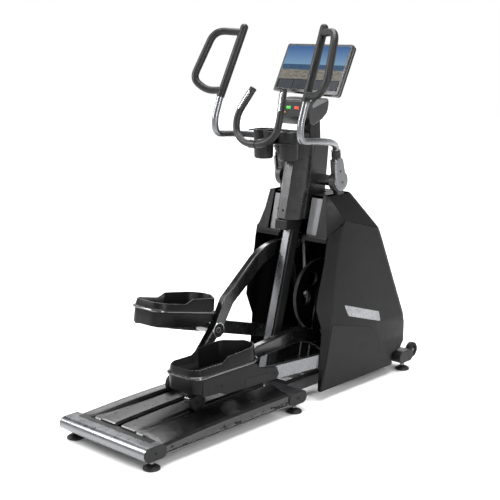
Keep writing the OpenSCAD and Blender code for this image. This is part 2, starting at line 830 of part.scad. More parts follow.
base_frame();
rear_tube();
mid_tube();
front_tube();
tube_caps();
track_cover(true);  // right_track_cover
track_cover(false);  // left_track_cover
track_rails();
upright_post();
mast_cover();
post_collar();
casing_side(true);  // right_shell
casing_side(false);  // left_shell
rear_cowl();
drive_frame();
drive_belt();
magnetic_brake();
pivot_shaft();
power_inlet();
console_neck();
console_housing();
display();
keypad_housing();
fixed_handlebar();
contact_plates();
accessory_tray();
crankset();
drive_pulley();
flywheel();
idler_pulley();
start_key();
stop_key();
grip(true);  // right_grip
handle(true);  // right_handle
swing_arm(true);  // right_swing_arm
pivot_cover(true);  // right_pivot_cover
grip(false);  // left_grip
handle(false);  // left_handle
swing_arm(false);  // left_swing_arm
pivot_cover(false);  // left_pivot_cover
arm_block(true);  // right_arm_block
arm_block(false);  // left_arm_block
beam(true);  // right_beam
pedal(true);  // right_pedal
foot_pad(true);  // right_foot_pad
link(true);  // right_link
roller(true);  // right_roller
beam(false);  // left_beam
pedal(false);  // left_pedal
foot_pad(false);  // left_foot_pad
link(false);  // left_link
roller(false);  // left_roller
transport_wheel(-1);  // right_transport_wheel
transport_wheel(1);  // left_transport_wheel
levelling_foot(rear_x, -1);  // rear_right_foot
levelling_foot(rear_x, 1);  // rear_left_foot
levelling_foot(mid_x, -1);  // mid_right_foot
levelling_foot(mid_x, 1);  // mid_left_foot
levelling_foot(front_x, -1);  // front_right_foot
levelling_foot(front_x, 1);  // front_left_foot
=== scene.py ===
"""Looks of the elliptical trainer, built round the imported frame. Metres, X forward, Y left, Z up."""

import json
import math

import bmesh
import bpy
from mathutils import Matrix, Vector


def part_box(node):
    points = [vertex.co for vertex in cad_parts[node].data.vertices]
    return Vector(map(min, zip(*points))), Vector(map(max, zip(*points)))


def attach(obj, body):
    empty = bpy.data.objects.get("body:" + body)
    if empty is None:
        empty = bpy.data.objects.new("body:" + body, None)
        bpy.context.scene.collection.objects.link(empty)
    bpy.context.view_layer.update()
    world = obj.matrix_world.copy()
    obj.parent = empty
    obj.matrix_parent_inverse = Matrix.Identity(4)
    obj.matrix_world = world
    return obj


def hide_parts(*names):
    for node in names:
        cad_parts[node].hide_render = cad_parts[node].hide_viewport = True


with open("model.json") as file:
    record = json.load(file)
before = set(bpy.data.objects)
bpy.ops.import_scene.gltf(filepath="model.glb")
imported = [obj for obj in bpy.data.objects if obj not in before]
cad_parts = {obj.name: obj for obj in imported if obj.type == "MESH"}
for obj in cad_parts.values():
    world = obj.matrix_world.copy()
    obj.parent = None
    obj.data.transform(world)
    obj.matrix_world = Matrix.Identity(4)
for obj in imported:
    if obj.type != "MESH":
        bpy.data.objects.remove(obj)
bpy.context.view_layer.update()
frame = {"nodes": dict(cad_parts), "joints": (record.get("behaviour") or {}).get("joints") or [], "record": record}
NODES = frame["nodes"]
BODY = {n: b for b, names in frame["record"]["behaviour"]["bodies"].items() for n in names}
SLOT = {p["node"]: p["material_slot"] for p in frame["record"]["subparts"]}
JOINT = {j["name"]: Vector(j["pos_m"]) for j in frame["joints"] if "pos_m" in j}
SIDES = (("right", -1), ("left", 1))

# ---------- materials ----------


def node_tree(name, colour, rough, metal=0.0, coat=0.0, specular=0.5):
    m = bpy.data.materials.new(name)
    m.use_nodes = True
    s = m.node_tree.nodes["Principled BSDF"]
    s.inputs["Base Color"].default_value = (*colour, 1)
    s.inputs["Roughness"].default_value = rough
    s.inputs["Metallic"].default_value = metal
    s.inputs["Coat Weight"].default_value = coat
    s.inputs["Coat Roughness"].default_value = 0.08
    s.inputs["Specular IOR Level"].default_value = specular
    return m, m.node_tree, s


def noise(tree, scale, detail=4.0, stretch=None):
    n = tree.nodes.new("ShaderNodeTexNoise")
    n.inputs["Scale"].default_value = scale
    n.inputs["Detail"].default_value = detail
    coord = tree.nodes.new("ShaderNodeTexCoord")
    if stretch:
        place = tree.nodes.new("ShaderNodeMapping")
        place.inputs["Scale"].default_value = stretch
        tree.links.new(coord.outputs["Object"], place.inputs["Vector"])
        tree.links.new(place.outputs["Vector"], n.inputs["Vector"])
    else:
        tree.links.new(coord.outputs["Object"], n.inputs["Vector"])
    return n.outputs["Fac"]


def ramp(tree, source, low, high, start=0.35, end=0.65):
    r = tree.nodes.new("ShaderNodeValToRGB")
    r.color_ramp.elements[0].position, r.color_ramp.elements[1].position = start, end
    r.color_ramp.elements[0].color = (*low, 1)
    r.color_ramp.elements[1].color = (*high, 1)
    tree.links.new(source, r.inputs["Fac"])
    return r.outputs["Color"]


def bump(tree, shader, height, strength, distance):
    b = tree.nodes.new("ShaderNodeBump")
    b.inputs["Strength"].default_value = strength
    b.inputs["Distance"].default_value = distance
    tree.links.new(height, b.inputs["Height"])
    tree.links.new(b.outputs["Normal"], shader.inputs["Normal"])


def edge_wear(tree, shader, base, worn, amount):
    """Lightens the convex edges a little, broken up by noise."""
    geo = tree.nodes.new("ShaderNodeNewGeometry")
    edge = ramp(tree, geo.outputs["Pointiness"], (0, 0, 0), (amount,) * 3, 0.53, 0.62)
    mix = tree.nodes.new("ShaderNodeMix")
    mix.data_type = "RGBA"
    tree.links.new(edge, mix.inputs["Factor"])
    tree.links.new(base, mix.inputs["A"])
    mix.inputs["B"].default_value = (*worn, 1)
    tree.links.new(mix.outputs["Result"], shader.inputs["Base Color"])


def moulding(name, colour, rough, grain=900.0, strength=0.25, coat=0.0, spread=0.25, specular=0.38):
    """Moulded plastic or rubber: fine grain, slow colour drift, uneven gloss and slightly rubbed edges."""
    m, t, s = node_tree(name, colour, rough, coat=coat, specular=specular)
    drift = ramp(t, noise(t, 6.0), [c * (1 - spread) for c in colour], [c * (1 + spread) for c in colour])
    edge_wear(t, s, drift, [min(1, c * 2.2 + 0.02) for c in colour], 0.5)
    t.links.new(ramp(t, noise(t, 35.0), (rough * 0.85,) * 3, (min(1, rough * 1.15),) * 3),
        s.inputs["Roughness"])
    bump(t, s, noise(t, grain, 2.0), strength, 0.0006)
    return m


def painted(name, colour, rough, metal, flake=1400.0, coat=0.3):
    """Sprayed paint with a fine flake and a clear coat."""
    m, t, s = node_tree(name, colour, rough, metal, coat)
    drift = ramp(t, noise(t, flake, 1.0), [c * 0.82 for c in colour], [min(1, c * 1.15) for c in colour])
    edge_wear(t, s, drift, [min(1, c * 1.4 + 0.02) for c in colour], 0.4)
    t.links.new(ramp(t, noise(t, 25.0), (rough * 0.8,) * 3, (min(1, rough * 1.2),) * 3),
        s.inputs["Roughness"])
    bump(t, s, noise(t, 260.0, 3.0), 0.06, 0.0004)
    return m


def turned(name, colour, rough):
    """Machined metal with fine tool marks."""
    m, t, s = node_tree(name, colour, rough, 1.0)
    marks = noise(t, 60.0, 6.0, (1, 30, 1))
    t.links.new(ramp(t, marks, (rough * 0.6,) * 3, (min(1, rough * 1.5),) * 3), s.inputs["Roughness"])
    t.links.new(ramp(t, noise(t, 12.0), [c * 0.85 for c in colour], colour), s.inputs["Base Color"])
    bump(t, s, marks, 0.08, 0.0003)
    return m


MAT = {
    "black_steel": painted("satin_black_steel", (0.009, 0.0092, 0.010), 0.40, 0.1, coat=0.0),
    "silver_paint": painted("silver_paint", (0.15, 0.153, 0.16), 0.3, 0.95, flake=500.0),
    "grey_paint": painted("grey_paint", (0.05, 0.051, 0.055), 0.36, 0.5),
    "gloss_paint": painted("gloss_black_paint", (0.004, 0.004, 0.0045), 0.24, 0.1, coat=0.2),
    "black_plastic": moulding("black_plastic", (0.0045, 0.0046, 0.005), 0.4, 1200, 0.15, specular=0.22),
    "gloss_cover": moulding("gloss_black_cover", (0.003, 0.003, 0.0034), 0.32, 700, 0.03, specular=0.55),
    "charcoal_shell": moulding("charcoal_shell", (0.004, 0.0041, 0.0046), 0.36, 1500, 0.12,
                               spread=0.12, specular=0.12),
    "grey_plastic": moulding("grey_plastic", (0.12, 0.122, 0.127), 0.4, 900, 0.12),
    "aluminium_rail": turned("aluminium_rail", (0.10, 0.10, 0.105), 0.35),
    "machined_steel": turned("machined_steel", (0.20, 0.20, 0.205), 0.32),
    "cast_iron": painted("cast_iron", (0.05, 0.05, 0.053), 0.55, 0.4, 500, 0.0),
    "belt_rubber": moulding("belt_rubber", (0.012, 0.012, 0.012), 0.75),
    "foam_rubber": moulding("foam_rubber", (0.006, 0.0061, 0.0064), 0.45, 1700, 0.3, specular=0.28),
    "foot_rubber": moulding("foot_rubber", (0.008, 0.008, 0.0083), 0.5, 600, 0.3),
    "roller_tyre": moulding("roller_tyre", (0.004, 0.004, 0.0042), 0.5, 500, 0.15, specular=0.12),
    "chrome_plate": turned("polished_chrome", (0.34, 0.345, 0.355), 0.2),
    "green_key": moulding("green_key", (0.05, 0.42, 0.06), 0.35, 300, 0.05, coat=0.3),
    "red_key": moulding("red_key", (0.62, 0.05, 0.03), 0.35, 300, 0.05, coat=0.3),
}
PLATE = turned("brushed_badge_plate", (0.27, 0.275, 0.285), 0.34)
AMBER = moulding("amber_key", (0.75, 0.30, 0.03), 0.35, 300, 0.05)
PAD = moulding("pedal_pad_rubber", (0.012, 0.012, 0.0125), 0.28, 900, 0.1, specular=0.6)
LIP = moulding("glossy_lip", (0.012, 0.012, 0.0125), 0.24, 300, 0.0, coat=0.6, specular=0.7)
# painted shade: a darker, duller black than these parts' own, for the drive pulley and the roller axle, so that
# they read as the shadow inside the casing and under the pedal
SHADE_BLACK = moulding("painted_shade_black", (0.002, 0.002, 0.0022), 0.6, 500, 0.1, specular=0.08)


def screen_material():
    """A lit screen: a plain sky, sea and beach, with a row of blank tiles below."""
    m, t, s = node_tree("display_screen", (0.01, 0.011, 0.013), 0.08, coat=0.5)
    lo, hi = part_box("display")
    coord = t.nodes.new("ShaderNodeTexCoord")
    split = t.nodes.new("ShaderNodeSeparateXYZ")
    t.links.new(coord.outputs["Object"], split.inputs["Vector"])

    def spread(source, a, b):
        r = t.nodes.new("ShaderNodeMapRange")
        r.inputs["From Min"].default_value, r.inputs["From Max"].default_value = a, b
        t.links.new(source, r.inputs["Value"])
        return r.outputs["Result"]

    def maths(kind, a, b):
        n = t.nodes.new("ShaderNodeMath")
        n.operation = kind
        for k, v in enumerate((a, b)):
            if isinstance(v, (int, float)):
                n.inputs[k].default_value = v
            else:
                t.links.new(v, n.inputs[k])
        return n.outputs[0]

    def layer(factor, under, over):
        mix = t.nodes.new("ShaderNodeMix")
        mix.data_type = "RGBA"
        t.links.new(factor, mix.inputs["Factor"])
        for k, v in (("A", under), ("B", over)):
            if isinstance(v, tuple):
                mix.inputs[k].default_value = (*v, 1)
            else:
                t.links.new(v, mix.inputs[k])
        return mix.outputs["Result"]

    up = spread(split.outputs["Z"], lo.z, hi.z)
    along = spread(split.outputs["Y"], hi.y, lo.y)
    sky = ramp(t, up, (0.20, 0.37, 0.55), (0.03, 0.12, 0.33), 0.55, 1.0)
    shore = maths("LESS_THAN", up, maths("ADD", maths("MULTIPLY", noise(t, 7.0, 4.0, (0, 1, 0)), 0.10),
        0.43))
    sand = ramp(t, noise(t, 40.0, 4.0, (0, 1, 4)), (0.13, 0.12, 0.10), (0.30, 0.27, 0.22))
    sea = ramp(t, noise(t, 50.0, 3.0, (0, 1, 6)), (0.008, 0.045, 0.12), (0.03, 0.10, 0.20))
    picture = layer(maths("LESS_THAN", up, 0.60), sky, sea)
    picture = layer(shore, picture, sand)
    tile = maths("GREATER_THAN", maths("FRACT", maths("MULTIPLY", along, 4.0), 0.0), 0.07)
    tile_rows = maths("LESS_THAN", maths("ABSOLUTE", maths("SUBTRACT", up, 0.13), 0.0), 0.10)
    tiles = layer(maths("MULTIPLY", tile, tile_rows), (0.006, 0.007, 0.008), (0.045, 0.05, 0.055))
    picture = layer(maths("LESS_THAN", up, 0.25), picture, tiles)
    t.links.new(picture, s.inputs["Emission Color"])
    s.inputs["Emission Strength"].default_value = 0.85
    return m


MAT["screen_glass"] = screen_material()

# ---------- shape helpers ----------

COLLECTION = bpy.context.scene.collection


def mesh_object(name, verts, faces, body, slot, mat=None, stands_for=(), smooth=40.0):
    me = bpy.data.meshes.new(name)
    me.from_pydata([tuple(v) for v in verts], [], faces)
    me.validate()
    o = bpy.data.objects.new(name, me)
    COLLECTION.objects.link(o)
    me.materials.append(mat or MAT[slot])
    bm = bmesh.new()
    bm.from_mesh(me)
    bmesh.ops.remove_doubles(bm, verts=bm.verts, dist=1e-6)
    bmesh.ops.recalc_face_normals(bm, faces=bm.faces)
    bm.to_mesh(me)
    bm.free()
    return finished(o, body, stands_for, smooth)


def finished(o, body, stands_for, smooth=40.0):
    for p in o.data.polygons:
        p.use_smooth = True
    o.data.set_sharp_from_angle(angle=math.radians(smooth))
    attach(o, body)
    if stands_for:
        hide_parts(*stands_for)
    return o


def add_bevel(o, width, segments=3, angle=28.0):
    b = o.modifiers.new("rounded_edges", "BEVEL")
    b.width, b.segments = width, segments
    b.limit_method, b.angle_limit = "ANGLE", math.radians(angle)
    b.use_clamp_overlap = True
    b.harden_normals = True
    return o


def rounded_copy(node, width=0.0015, segments=3, mat=None, angle=28.0):
    """A copy of a CAD node with its edges rounded, which stands for the node."""
    o = bpy.data.objects.new(node + "_body", NODES[node].data.copy())
    COLLECTION.objects.link(o)
    bm = bmesh.new()
    bm.from_mesh(o.data)
    bmesh.ops.remove_doubles(bm, verts=bm.verts, dist=1e-5)
    bmesh.ops.dissolve_limit(bm, angle_limit=math.radians(1.0), verts=bm.verts, edges=bm.edges)
    bm.to_mesh(o.data)
    bm.free()
    o.data.materials.clear()
    o.data.materials.append(mat or MAT[SLOT[node]])
    finished(o, BODY[node], [node], 30.0)
    return add_bevel(o, width, segments, angle)


def slab(name, outline, axes, lo, hi, body, slot, bevel=0.002, mat=None, stands_for=(), segments=3):
    """Extrudes an outline from lo to hi; axes such as 'xz' say what its two coordinates are."""
    order = [axes.index(c) if c in axes else 2 for c in "xyz"]
    verts = [[(*p, h)[k] for k in order] for h in (lo, hi) for p in outline]
    n = len(outline)
    faces = [tuple(range(n)), tuple(range(2 * n - 1, n - 1, -1))]
    faces += [(k, (k + 1) % n, n + (k + 1) % n, n + k) for k in range(n)]
    o = mesh_object(name, verts, faces, body, slot, mat, stands_for)
    return add_bevel(o, bevel, segments) if bevel else o


def rounded(points, d, n=6):
    """Rounds the corners of a polyline over the distance d."""
    pts = [Vector(p) for p in points]
    out = [pts[0]]
    for a, b, c in zip(pts, pts[1:], pts[2:]):
        e = min(d, (b - a).length * 0.48, (c - b).length * 0.48)
        p, q = b + (a - b).normalized() * e, b + (c - b).normalized() * e
        out += [p * (1 - t) ** 2 + b * 2 * t * (1 - t) + q * t * t for t in (k / n for k in range(n + 1))]
    return out + [pts[-1]]


def rounded_ring(points, d, n=4, unit=1000):
    """An outline with every corner rounded; unit is what a metre is in its numbers."""
    pts = [(x / unit, y / unit, 0) for x, y in points]
    return [(p.x, p.y) for p in rounded(pts + pts[:2], d, n)[n + 1:-1]]


def ring_faces(count, n, at=0):
    """Faces that join rings of n vertices, one after another; at is the first vertex."""
    return [(at + i * n + k, at + i * n + (k + 1) % n, at + (i + 1) * n + (k + 1) % n, at + (i + 1) * n + k)
            for i in range(count - 1) for k in range(n)]


def sweep_mesh(points, section, across):
    """Rings of a section along a path, as vertices and faces with closed ends."""
    verts, faces, n, m = [], [], len(section), len(points)
    up = Vector(across).normalized()
    for i, p in enumerate(points):
        along = (points[min(i + 1, m - 1)] - points[max(i - 1, 0)]).normalized()
        side = up.cross(along).normalized()
        top = along.cross(side)
        verts += [p + side * u + top * v for u, v in section]
    faces += ring_faces(m, n)
    faces += [tuple(range(n))[::-1], tuple(range((m - 1) * n, m * n))]
    return verts, faces


def circle(r, n=28, squash=1.0):
    return [(r * math.cos(2 * math.pi * k / n), squash * r * math.sin(2 * math.pi * k / n))
        for k in range(n)]


def tube(name, points, r, across, body, slot, d=0.03, mat=None, stands_for=(), squash=1.0, n=28):
    verts, faces = sweep_mesh(rounded(points, d, 10), circle(r, n, squash), across)
    return mesh_object(name, verts, faces, body, slot, mat, stands_for)


def lathe(name, profile, centre, axis, body, slot, mat=None, stands_for=(), n=48, smooth=35.0):
    """Turns a profile of (distance along the axis, radius) about an axis through centre."""
    turn = Vector((0, 0, 1)).rotation_difference(Vector(axis)).to_matrix()
    verts, faces = [], []
    for h, r in profile:
        verts += [Vector(centre) + turn @ Vector((r * math.cos(a), r * math.sin(a), h))
                  for a in (2 * math.pi * k / n for k in range(n))]
    faces += ring_faces(len(profile), n)
    faces += [tuple(range(n))[::-1], tuple(range((len(profile) - 1) * n, len(profile) * n))]
    return mesh_object(name, verts, faces, body, slot, mat, stands_for, smooth)


def screw(name, centre, axis, body, r=0.0055, slot="machined_steel", mat=None):
    """A dome head with a socket."""
    profile = [(-0.001, r), (r * 0.25, r), (r * 0.55, r * 0.72), (r * 0.6, r * 0.45), (r * 0.2, r * 0.42),
        (r * 0.2, 0.0002)]
    return lathe(name, profile, centre, axis, body, slot, mat, n=20)


def arc(centre, r, angles):
    return [centre + Vector((math.cos(t), math.sin(t))) * r for t in angles]


def mm(*v):
    return Vector(c / 1000 for c in v)


def lerp(a, b, t):
    return a + (b - a) * t


def grid_skin(name, rows, body, slot, thickness=0.003, mat=None, stands_for=(), bevel=0.004, skip=(),
        smooth=40.0):
    """Joins rows of points into a skin centred on them; skip lists (row, column) holes."""
    n = len(rows[0])
    verts = [p for row in rows for p in row]
    faces = [(i * n + k, i * n + k + 1, (i + 1) * n + k + 1, (i + 1) * n + k)
             for i in range(len(rows) - 1) for k in range(n - 1) if (i, k) not in skip]
    o = mesh_object(name, verts, faces, body, slot, mat, stands_for, smooth)
    thick = o.modifiers.new("wall", "SOLIDIFY")
    thick.thickness, thick.offset = thickness, 0.0
    return add_bevel(o, bevel, 4, 14.0)


# ---------- base ----------


def track_cover(side, sign):
    """A cover with two raised ridges and the roller's slot between them, arched up from its rear lip."""
    lo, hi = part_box(side + "_track_cover")
    length = hi.x - lo.x
    slot_a, slot_b, slot_start = 0.1125, 0.1495, lo.x + 0.034
    # (distance from the middle plane, height below the top of the arch)
    line = [(0.0125, 0.052), (0.0135, 0.010), (0.021, 0.001), (0.060, 0.0), (0.104, 0.001), (slot_a, 0.007),
        (slot_b, 0.007), (0.156, 0.001), (0.172, 0.003), (0.216, 0.018), (0.252, 0.024), (0.2605, 0.034),
        (0.2605, 0.058)]
    steps = [0, 0.004, 0.012, 0.034, 0.034, 0.08, 0.16, 0.26, 0.38, 0.5, length - 0.1, length]
    rows = []
    for i, s in enumerate(steps):
        top = lo.z + 0.062 + 0.0135 * math.sin(math.pi / 2 * min(1, s / 0.45))
        lip = 0.006 if i == 0 else 0.0015 if i == 1 else 0.0
        rows.append([Vector((lo.x + s, sign * y, max(lo.z + 0.002, top - drop - lip))) for y, drop in line])
    low = [Vector((lo.x + 0.001, p.y, lo.z + 0.002)) for p in rows[0]]
    hole = line.index((slot_a, 0.007))
    skip = {(i + 1, hole) for i in range(4, len(steps) - 1)}
    grid_skin(side + "_track_cover_skin", [low] + rows, "frame", "gloss_cover", 0.0025, bevel=0.0035,
              stands_for=[side + "_track_cover"], skip=skip)
    for y, way in ((slot_a, -1), (slot_b, 1)):
        walls = [[Vector((r[hole].x, sign * (y + way * 0.0008), z)) for z in (r[hole].z - 0.0005,
            lo.z + 0.044)] for r in rows[4:]]
        grid_skin(f"{side}_slot_wall_{'inner' if way < 0 else 'outer'}", walls, "frame", "gloss_cover",
            0.0015, bevel=0)
    x = slot_start
    slab(side + "_slot_end", [(x - 0.001, rows[4][hole].z), (x + 0.0015, rows[4][hole].z - 0.001),
        (x + 0.0015, lo.z + 0.044), (x - 0.001, lo.z + 0.044)], "xz",
        *sorted((sign * slot_a, sign * slot_b)), "frame", "gloss_cover", 0)
    for k, s in enumerate((0.06, 0.36, 0.66)):
        screw(f"{side}_cover_screw_{k}", (lo.x + s, sign * 0.2615, lo.z + 0.018), (0, sign, 0), "frame",
            0.006, "black_plastic")
    # steel edge rail under the cover's skirt
    slab(side + "_edge_rail", [(lo.x + 0.01, 0.046), (hi.x, 0.046), (hi.x, lo.z - 0.001),
        (lo.x + 0.01, lo.z - 0.001)], "xz", *sorted((sign * 0.252, sign * 0.259)), "frame", "black_steel",
        0.0015, mat=MAT["grey_paint"])


def base():
    for node, width in (("base_frame", 0.003), ("rear_tube", 0.0008), ("mid_tube", 0.0008),
            ("front_tube", 0.0012), ("tube_caps", 0.002), ("track_rails", 0.001), ("power_inlet", 0.001)):
        rounded_copy(node, width, angle=40)
    for side, sign in SIDES:
        track_cover(side, sign)
        for tube_name in ("rear_tube", "mid_tube"):
            lo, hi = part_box(tube_name)
            screw(f"{tube_name}_{side}_cap_screw", ((lo.x + hi.x) / 2, sign * (hi.y + 0.0068),
                (lo.z + hi.z) / 2), (0, sign, 0), "frame", 0.006, "black_plastic")
    # black plate over the rear tube between the covers
    lo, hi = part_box("rear_tube")
    slab("rear_step_plate", [(hi.x - 0.052, hi.z - 0.001), (hi.x - 0.052, hi.z + 0.0015),
        (hi.x - 0.02, hi.z + 0.0015), (hi.x - 0.02, hi.z - 0.001)], "xz", -0.225, 0.225, "frame",
        "black_plastic", 0.0008)
    for place in ("rear", "mid", "front"):
        for side, sign in SIDES:
            node = f"{place}_{side}_foot"
            lo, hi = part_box(node)
            c = (lo + hi) / 2
            profile = [(0, 0.034), (0.0015, 0.036), (0.007, 0.036), (0.0095, 0.0345), (0.0105, 0.031),
                (0.013, 0.029), (0.019, 0.0165), (0.020, 0.0085), (0.023, 0.0085), (0.0235, 0.006),
                (0.066, 0.006)]
            lathe(node + "_pad", profile, (c.x, c.y, lo.z), (0, 0, 1), BODY[node], "foot_rubber",
                stands_for=[node])
            hexagon = [(c.x + 0.011 * math.cos(math.pi / 3 * k), c.y + 0.011 * math.sin(math.pi / 3 * k))
                for k in range(6)]
            slab(node + "_nut", hexagon, "xy", lo.z + 0.0235, lo.z + 0.0325, BODY[node], "machined_steel",
                0.001)
    for side, sign in SIDES:
        node = side + "_transport_wheel"
        c = JOINT[side + "_transport_wheel_spin"]
        rim = [(-0.006, 0.006), (-0.006, 0.020), (-0.0135, 0.024), (-0.014, 0.034), (-0.010, 0.0395),
            (0, 0.040), (0.010, 0.0395), (0.014, 0.034), (0.0135, 0.024), (0.006, 0.020), (0.006, 0.006)]
        lathe(node + "_tyre", rim, c, (0, 1, 0), BODY[node], "roller_tyre", stands_for=[node], smooth=50)
        lathe(node + "_hub", [(-0.012, 0.008), (-0.0105, 0.009), (0.0105, 0.009), (0.012, 0.008)], c,
            (0, 1, 0), BODY[node], "machined_steel")
        lathe(node + "_axle", [(-0.028, 0.0049), (0.012, 0.0049)], c, (0, sign, 0), BODY[node],
            "machined_steel")


# ---------- casing ----------


def along_line(points, z):
    """The first coordinate of a line of (x, z) points at a height."""
    pts = sorted(points, key=lambda p: p[1])
    for (xa, za), (xb, zb) in zip(pts, pts[1:]):
        if za <= z <= zb:
            return lerp(xa, xb, (z - za) / (zb - za))
    return pts[0][0] if z < pts[0][1] else pts[-1][0]


# Lines of the casing in X and Z, millimetres, and the slope of the mast cover's rear edge
NOSE_SLOPE = 0.229
OPENING = [(179, 39), (203, 338), (160, 444), (166, 481), (218, 662), (226, 720), (232, 745)]
REAR_CREASE = [(172, 46), (214, 193), (247, 356), (265, 521), (284, 660), (300, 745), (318, 800)]
FRONT = [(765, 46), (765, 100), (835, 118), (862, 150), (862, 250), (850, 300), (647, 724), (606, 800)]


def shell(side, sign):
    """One half of the casing: inner return, chamfer round the opening, side, rounded front corner."""
    def row(z):
        o, c, f = along_line(OPENING, z), along_line(REAR_CREASE, z), along_line(FRONT, z)
        pts = [(o + 26, 222), (o, 220.5), (lerp(o, c, 0.92), 238.5), (c + 8, 240), (lerp(c, f, 0.5), 240),
            (f - 34, 240), (f - 16, 236), (f - 5, 224), (f, 200), (f + 1, 0.4)]
        return [Vector((x / 1000, sign * y / 1000, z / 1000)) for x, y in pts]

    heights = [45, 100, 118, 150, 193, 250, 300, 338, 356, 400, 444, 481, 521, 590, 662, 720, 745]
    crown = [(264, 222, 772), (238, 220.5, 772), (322, 238.5, 815), (345, 240, 835), (475, 240, 801),
        (588, 240, 772), (606, 236, 769), (617, 224, 767), (622, 200, 767), (623, 0.4, 767)]
    crown = [mm(x, sign * y, z) for x, y, z in crown]
    grid_skin(side + "_shell_wall", [row(z) for z in heights] + [crown], "frame", "charcoal_shell", 0.003,
        bevel=0.008, stands_for=[side + "_shell"])
    # shoulder: near-upright rear face, broad bevel, and a side that slopes in to the top
    rows = []
    for t in (0.0, 0.06, 0.5, 0.94, 1.0):
        rear, zr, y = lerp(238, 290, t), lerp(768, 950, t), lerp(240, 180, t)
        c, zc, f, zf = lerp(345, 288, t), lerp(835, 950, t), lerp(622, 468, t), lerp(767, 950, t)
        pts = [(rear, 150, zr), (rear + 1, lerp(216, 166, t), zr), (c, y, zc), (lerp(c, f, 0.5), y,
            lerp(zc, zf, 0.5)), (f - 30, y, lerp(zf, zc, 0.1)), (f - 12, y - 5, zf), (f, y - 28, zf),
            (f + 1, 0.4, zf)]
        rows.append([mm(x, sign * yy, z) for x, yy, z in pts])
    grid_skin(side + "_shell_shoulder", rows, "frame", "charcoal_shell", 0.003, bevel=0.016)
    # lintel over the opening
    lintel = [[(240, 74, 768), (239, 214, 770), (276, 230, 790), (318, 238, 812)],
              [(233, 74, 760), (232, 214, 760), (268, 230, 760), (304, 240, 760)],
              [(230, 74, 742), (228, 214, 742), (262, 230, 742), (296, 239, 742)],
              [(252, 74, 738), (252, 212, 738), (275, 226, 738), (300, 236, 738)]]
    grid_skin(side + "_shell_lintel", [[mm(x, sign * y, z) for x, y, z in r] for r in lintel], "frame",
        "charcoal_shell", 0.0025, bevel=0.005)
    # top plate between the arms
    for k, (x, y0, y1) in enumerate(((0.412, 0.0005, 0.074), (0.300, 0.0765, 0.142))):
        slab(f"{side}_shell_top_{k}", [(x, 0.944), (x, 0.949), (0.466, 0.949), (0.470, 0.944)], "xz",
             *sorted((sign * y0, sign * y1)), "frame", "charcoal_shell", 0.002)
    # the lower panel, a little proud of the side
    panel = [(182, 52), (218, 200), (252, 345), (262, 352), (568, 280), (604, 258), (716, 66), (708, 52)]
    slab(side + "_lower_panel", [(x / 1000, z / 1000) for x, z in panel], "xz",
        *sorted((sign * 0.2405, sign * 0.2435)), "frame", "charcoal_shell", 0.0022)
    if side == "right":
        frame_line = [(343, 433), (616, 360), (635, 295), (376, 373)]
        badge = rounded_ring(frame_line, 0.012)
        slab("badge_plate", badge, "xz", -0.2432, -0.2405, "frame", "machined_steel", 0.0009, mat=PLATE)
        inset = [(489 + (x - 489) * 1.09, 365 + (z - 365) * 1.17) for x, z in frame_line]
        surround = rounded_ring(inset, 0.016)
        slab("badge_surround", surround, "xz", -0.2418, -0.2402, "frame", "charcoal_shell", 0.0007)


def nose_x(z):
    """The mast cover's rear edge at a height."""
    return 0.170 + NOSE_SLOPE * (z - 0.861)


def post_x(z):
    """The rear post's centre line at a height."""
    return 0.039 + 0.2695 * (z - 0.097)


def mast():
    lo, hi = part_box("mast_cover")
    rows = []
    for z in (lo.z, lo.z + 0.006, lerp(lo.z, hi.z, 0.5), hi.z - 0.008, hi.z - 0.002, hi.z - 0.0015):
        nose = nose_x(z)
        front = nose + 0.232 - 0.12 * (z - lo.z)
        inset = 0.004 if z in (lo.z, hi.z - 0.002) else 0.0
        half = [(nose + inset, 0.0), (nose + inset, 0.020), (nose + 0.004, 0.027), (nose + 0.046, 0.069),
            (nose + 0.058, 0.072 - inset), (nose + 0.072, 0.072 - inset), (nose + 0.076, 0.069),
            (nose + 0.080, 0.0705), (front - 0.014, 0.0715 - inset), (front - 0.002, 0.064),
            (front - inset, 0.05)]
        ring = half + [(x, -y) for x, y in half[:0:-1]]
        rows.append([Vector((x, y, z)) for x, y in ring])
    verts = [p for r in rows for p in r]
    n = len(rows[0])
    faces = ring_faces(len(rows), n)
    faces += [tuple(range(n)), tuple(range((len(rows) - 1) * n, len(rows) * n))[::-1]]
    o = mesh_object("mast_cover_body", verts, faces, "frame", "gloss_cover", None, ["mast_cover"])
    add_bevel(o, 0.002, 3, 20)
    for k, t in enumerate((0.12, 0.80)):
        z = lerp(lo.z, hi.z, t)
        nose = nose_x(z)
        screw(f"mast_screw_{k}", (nose + 0.0005, -0.0, z), (-1, 0, NOSE_SLOPE), "frame", 0.006,
            "black_plastic")
        for side, sign in SIDES:
            screw(f"mast_side_screw_{side}_{k}", (nose + 0.024, sign * 0.0495, z), (-0.68, sign * 0.73,
                0.1), "frame", 0.005, "black_plastic")
    # painted highlight: the post is given silver paint so that its bright rear face stands for a strip light's
    # reflection on the dark post
    rounded_copy("upright_post", 0.004, 4, MAT["silver_paint"], 40)
    rounded_copy("post_collar", 0.006, 4)
    rounded_copy("rear_cowl", 0.003, 3)
    for k in range(4):
        z = 0.25 + 0.14 * k
        x = post_x(z)
        screw(f"post_screw_{k}", (x + 0.006, -0.0195, z), (0, -1, 0), "frame", 0.0055, "black_plastic")
    # dark cladding on the post's two sides, which leaves its rear face bright; that bright silver face is a
    # painted highlight
    for side, sign in SIDES:
        z0, z1 = 0.12, 0.789
        x0, x1 = post_x(z0), post_x(z1)
        slab(f"post_cladding_{side}", [(x0 - 0.011, z0), (x1 - 0.011, z1), (x1 + 0.040, z1),
            (x0 + 0.040, z0)], "xz", *sorted((sign * 0.0192, sign * 0.030)), "frame", "black_plastic",
            0.003)


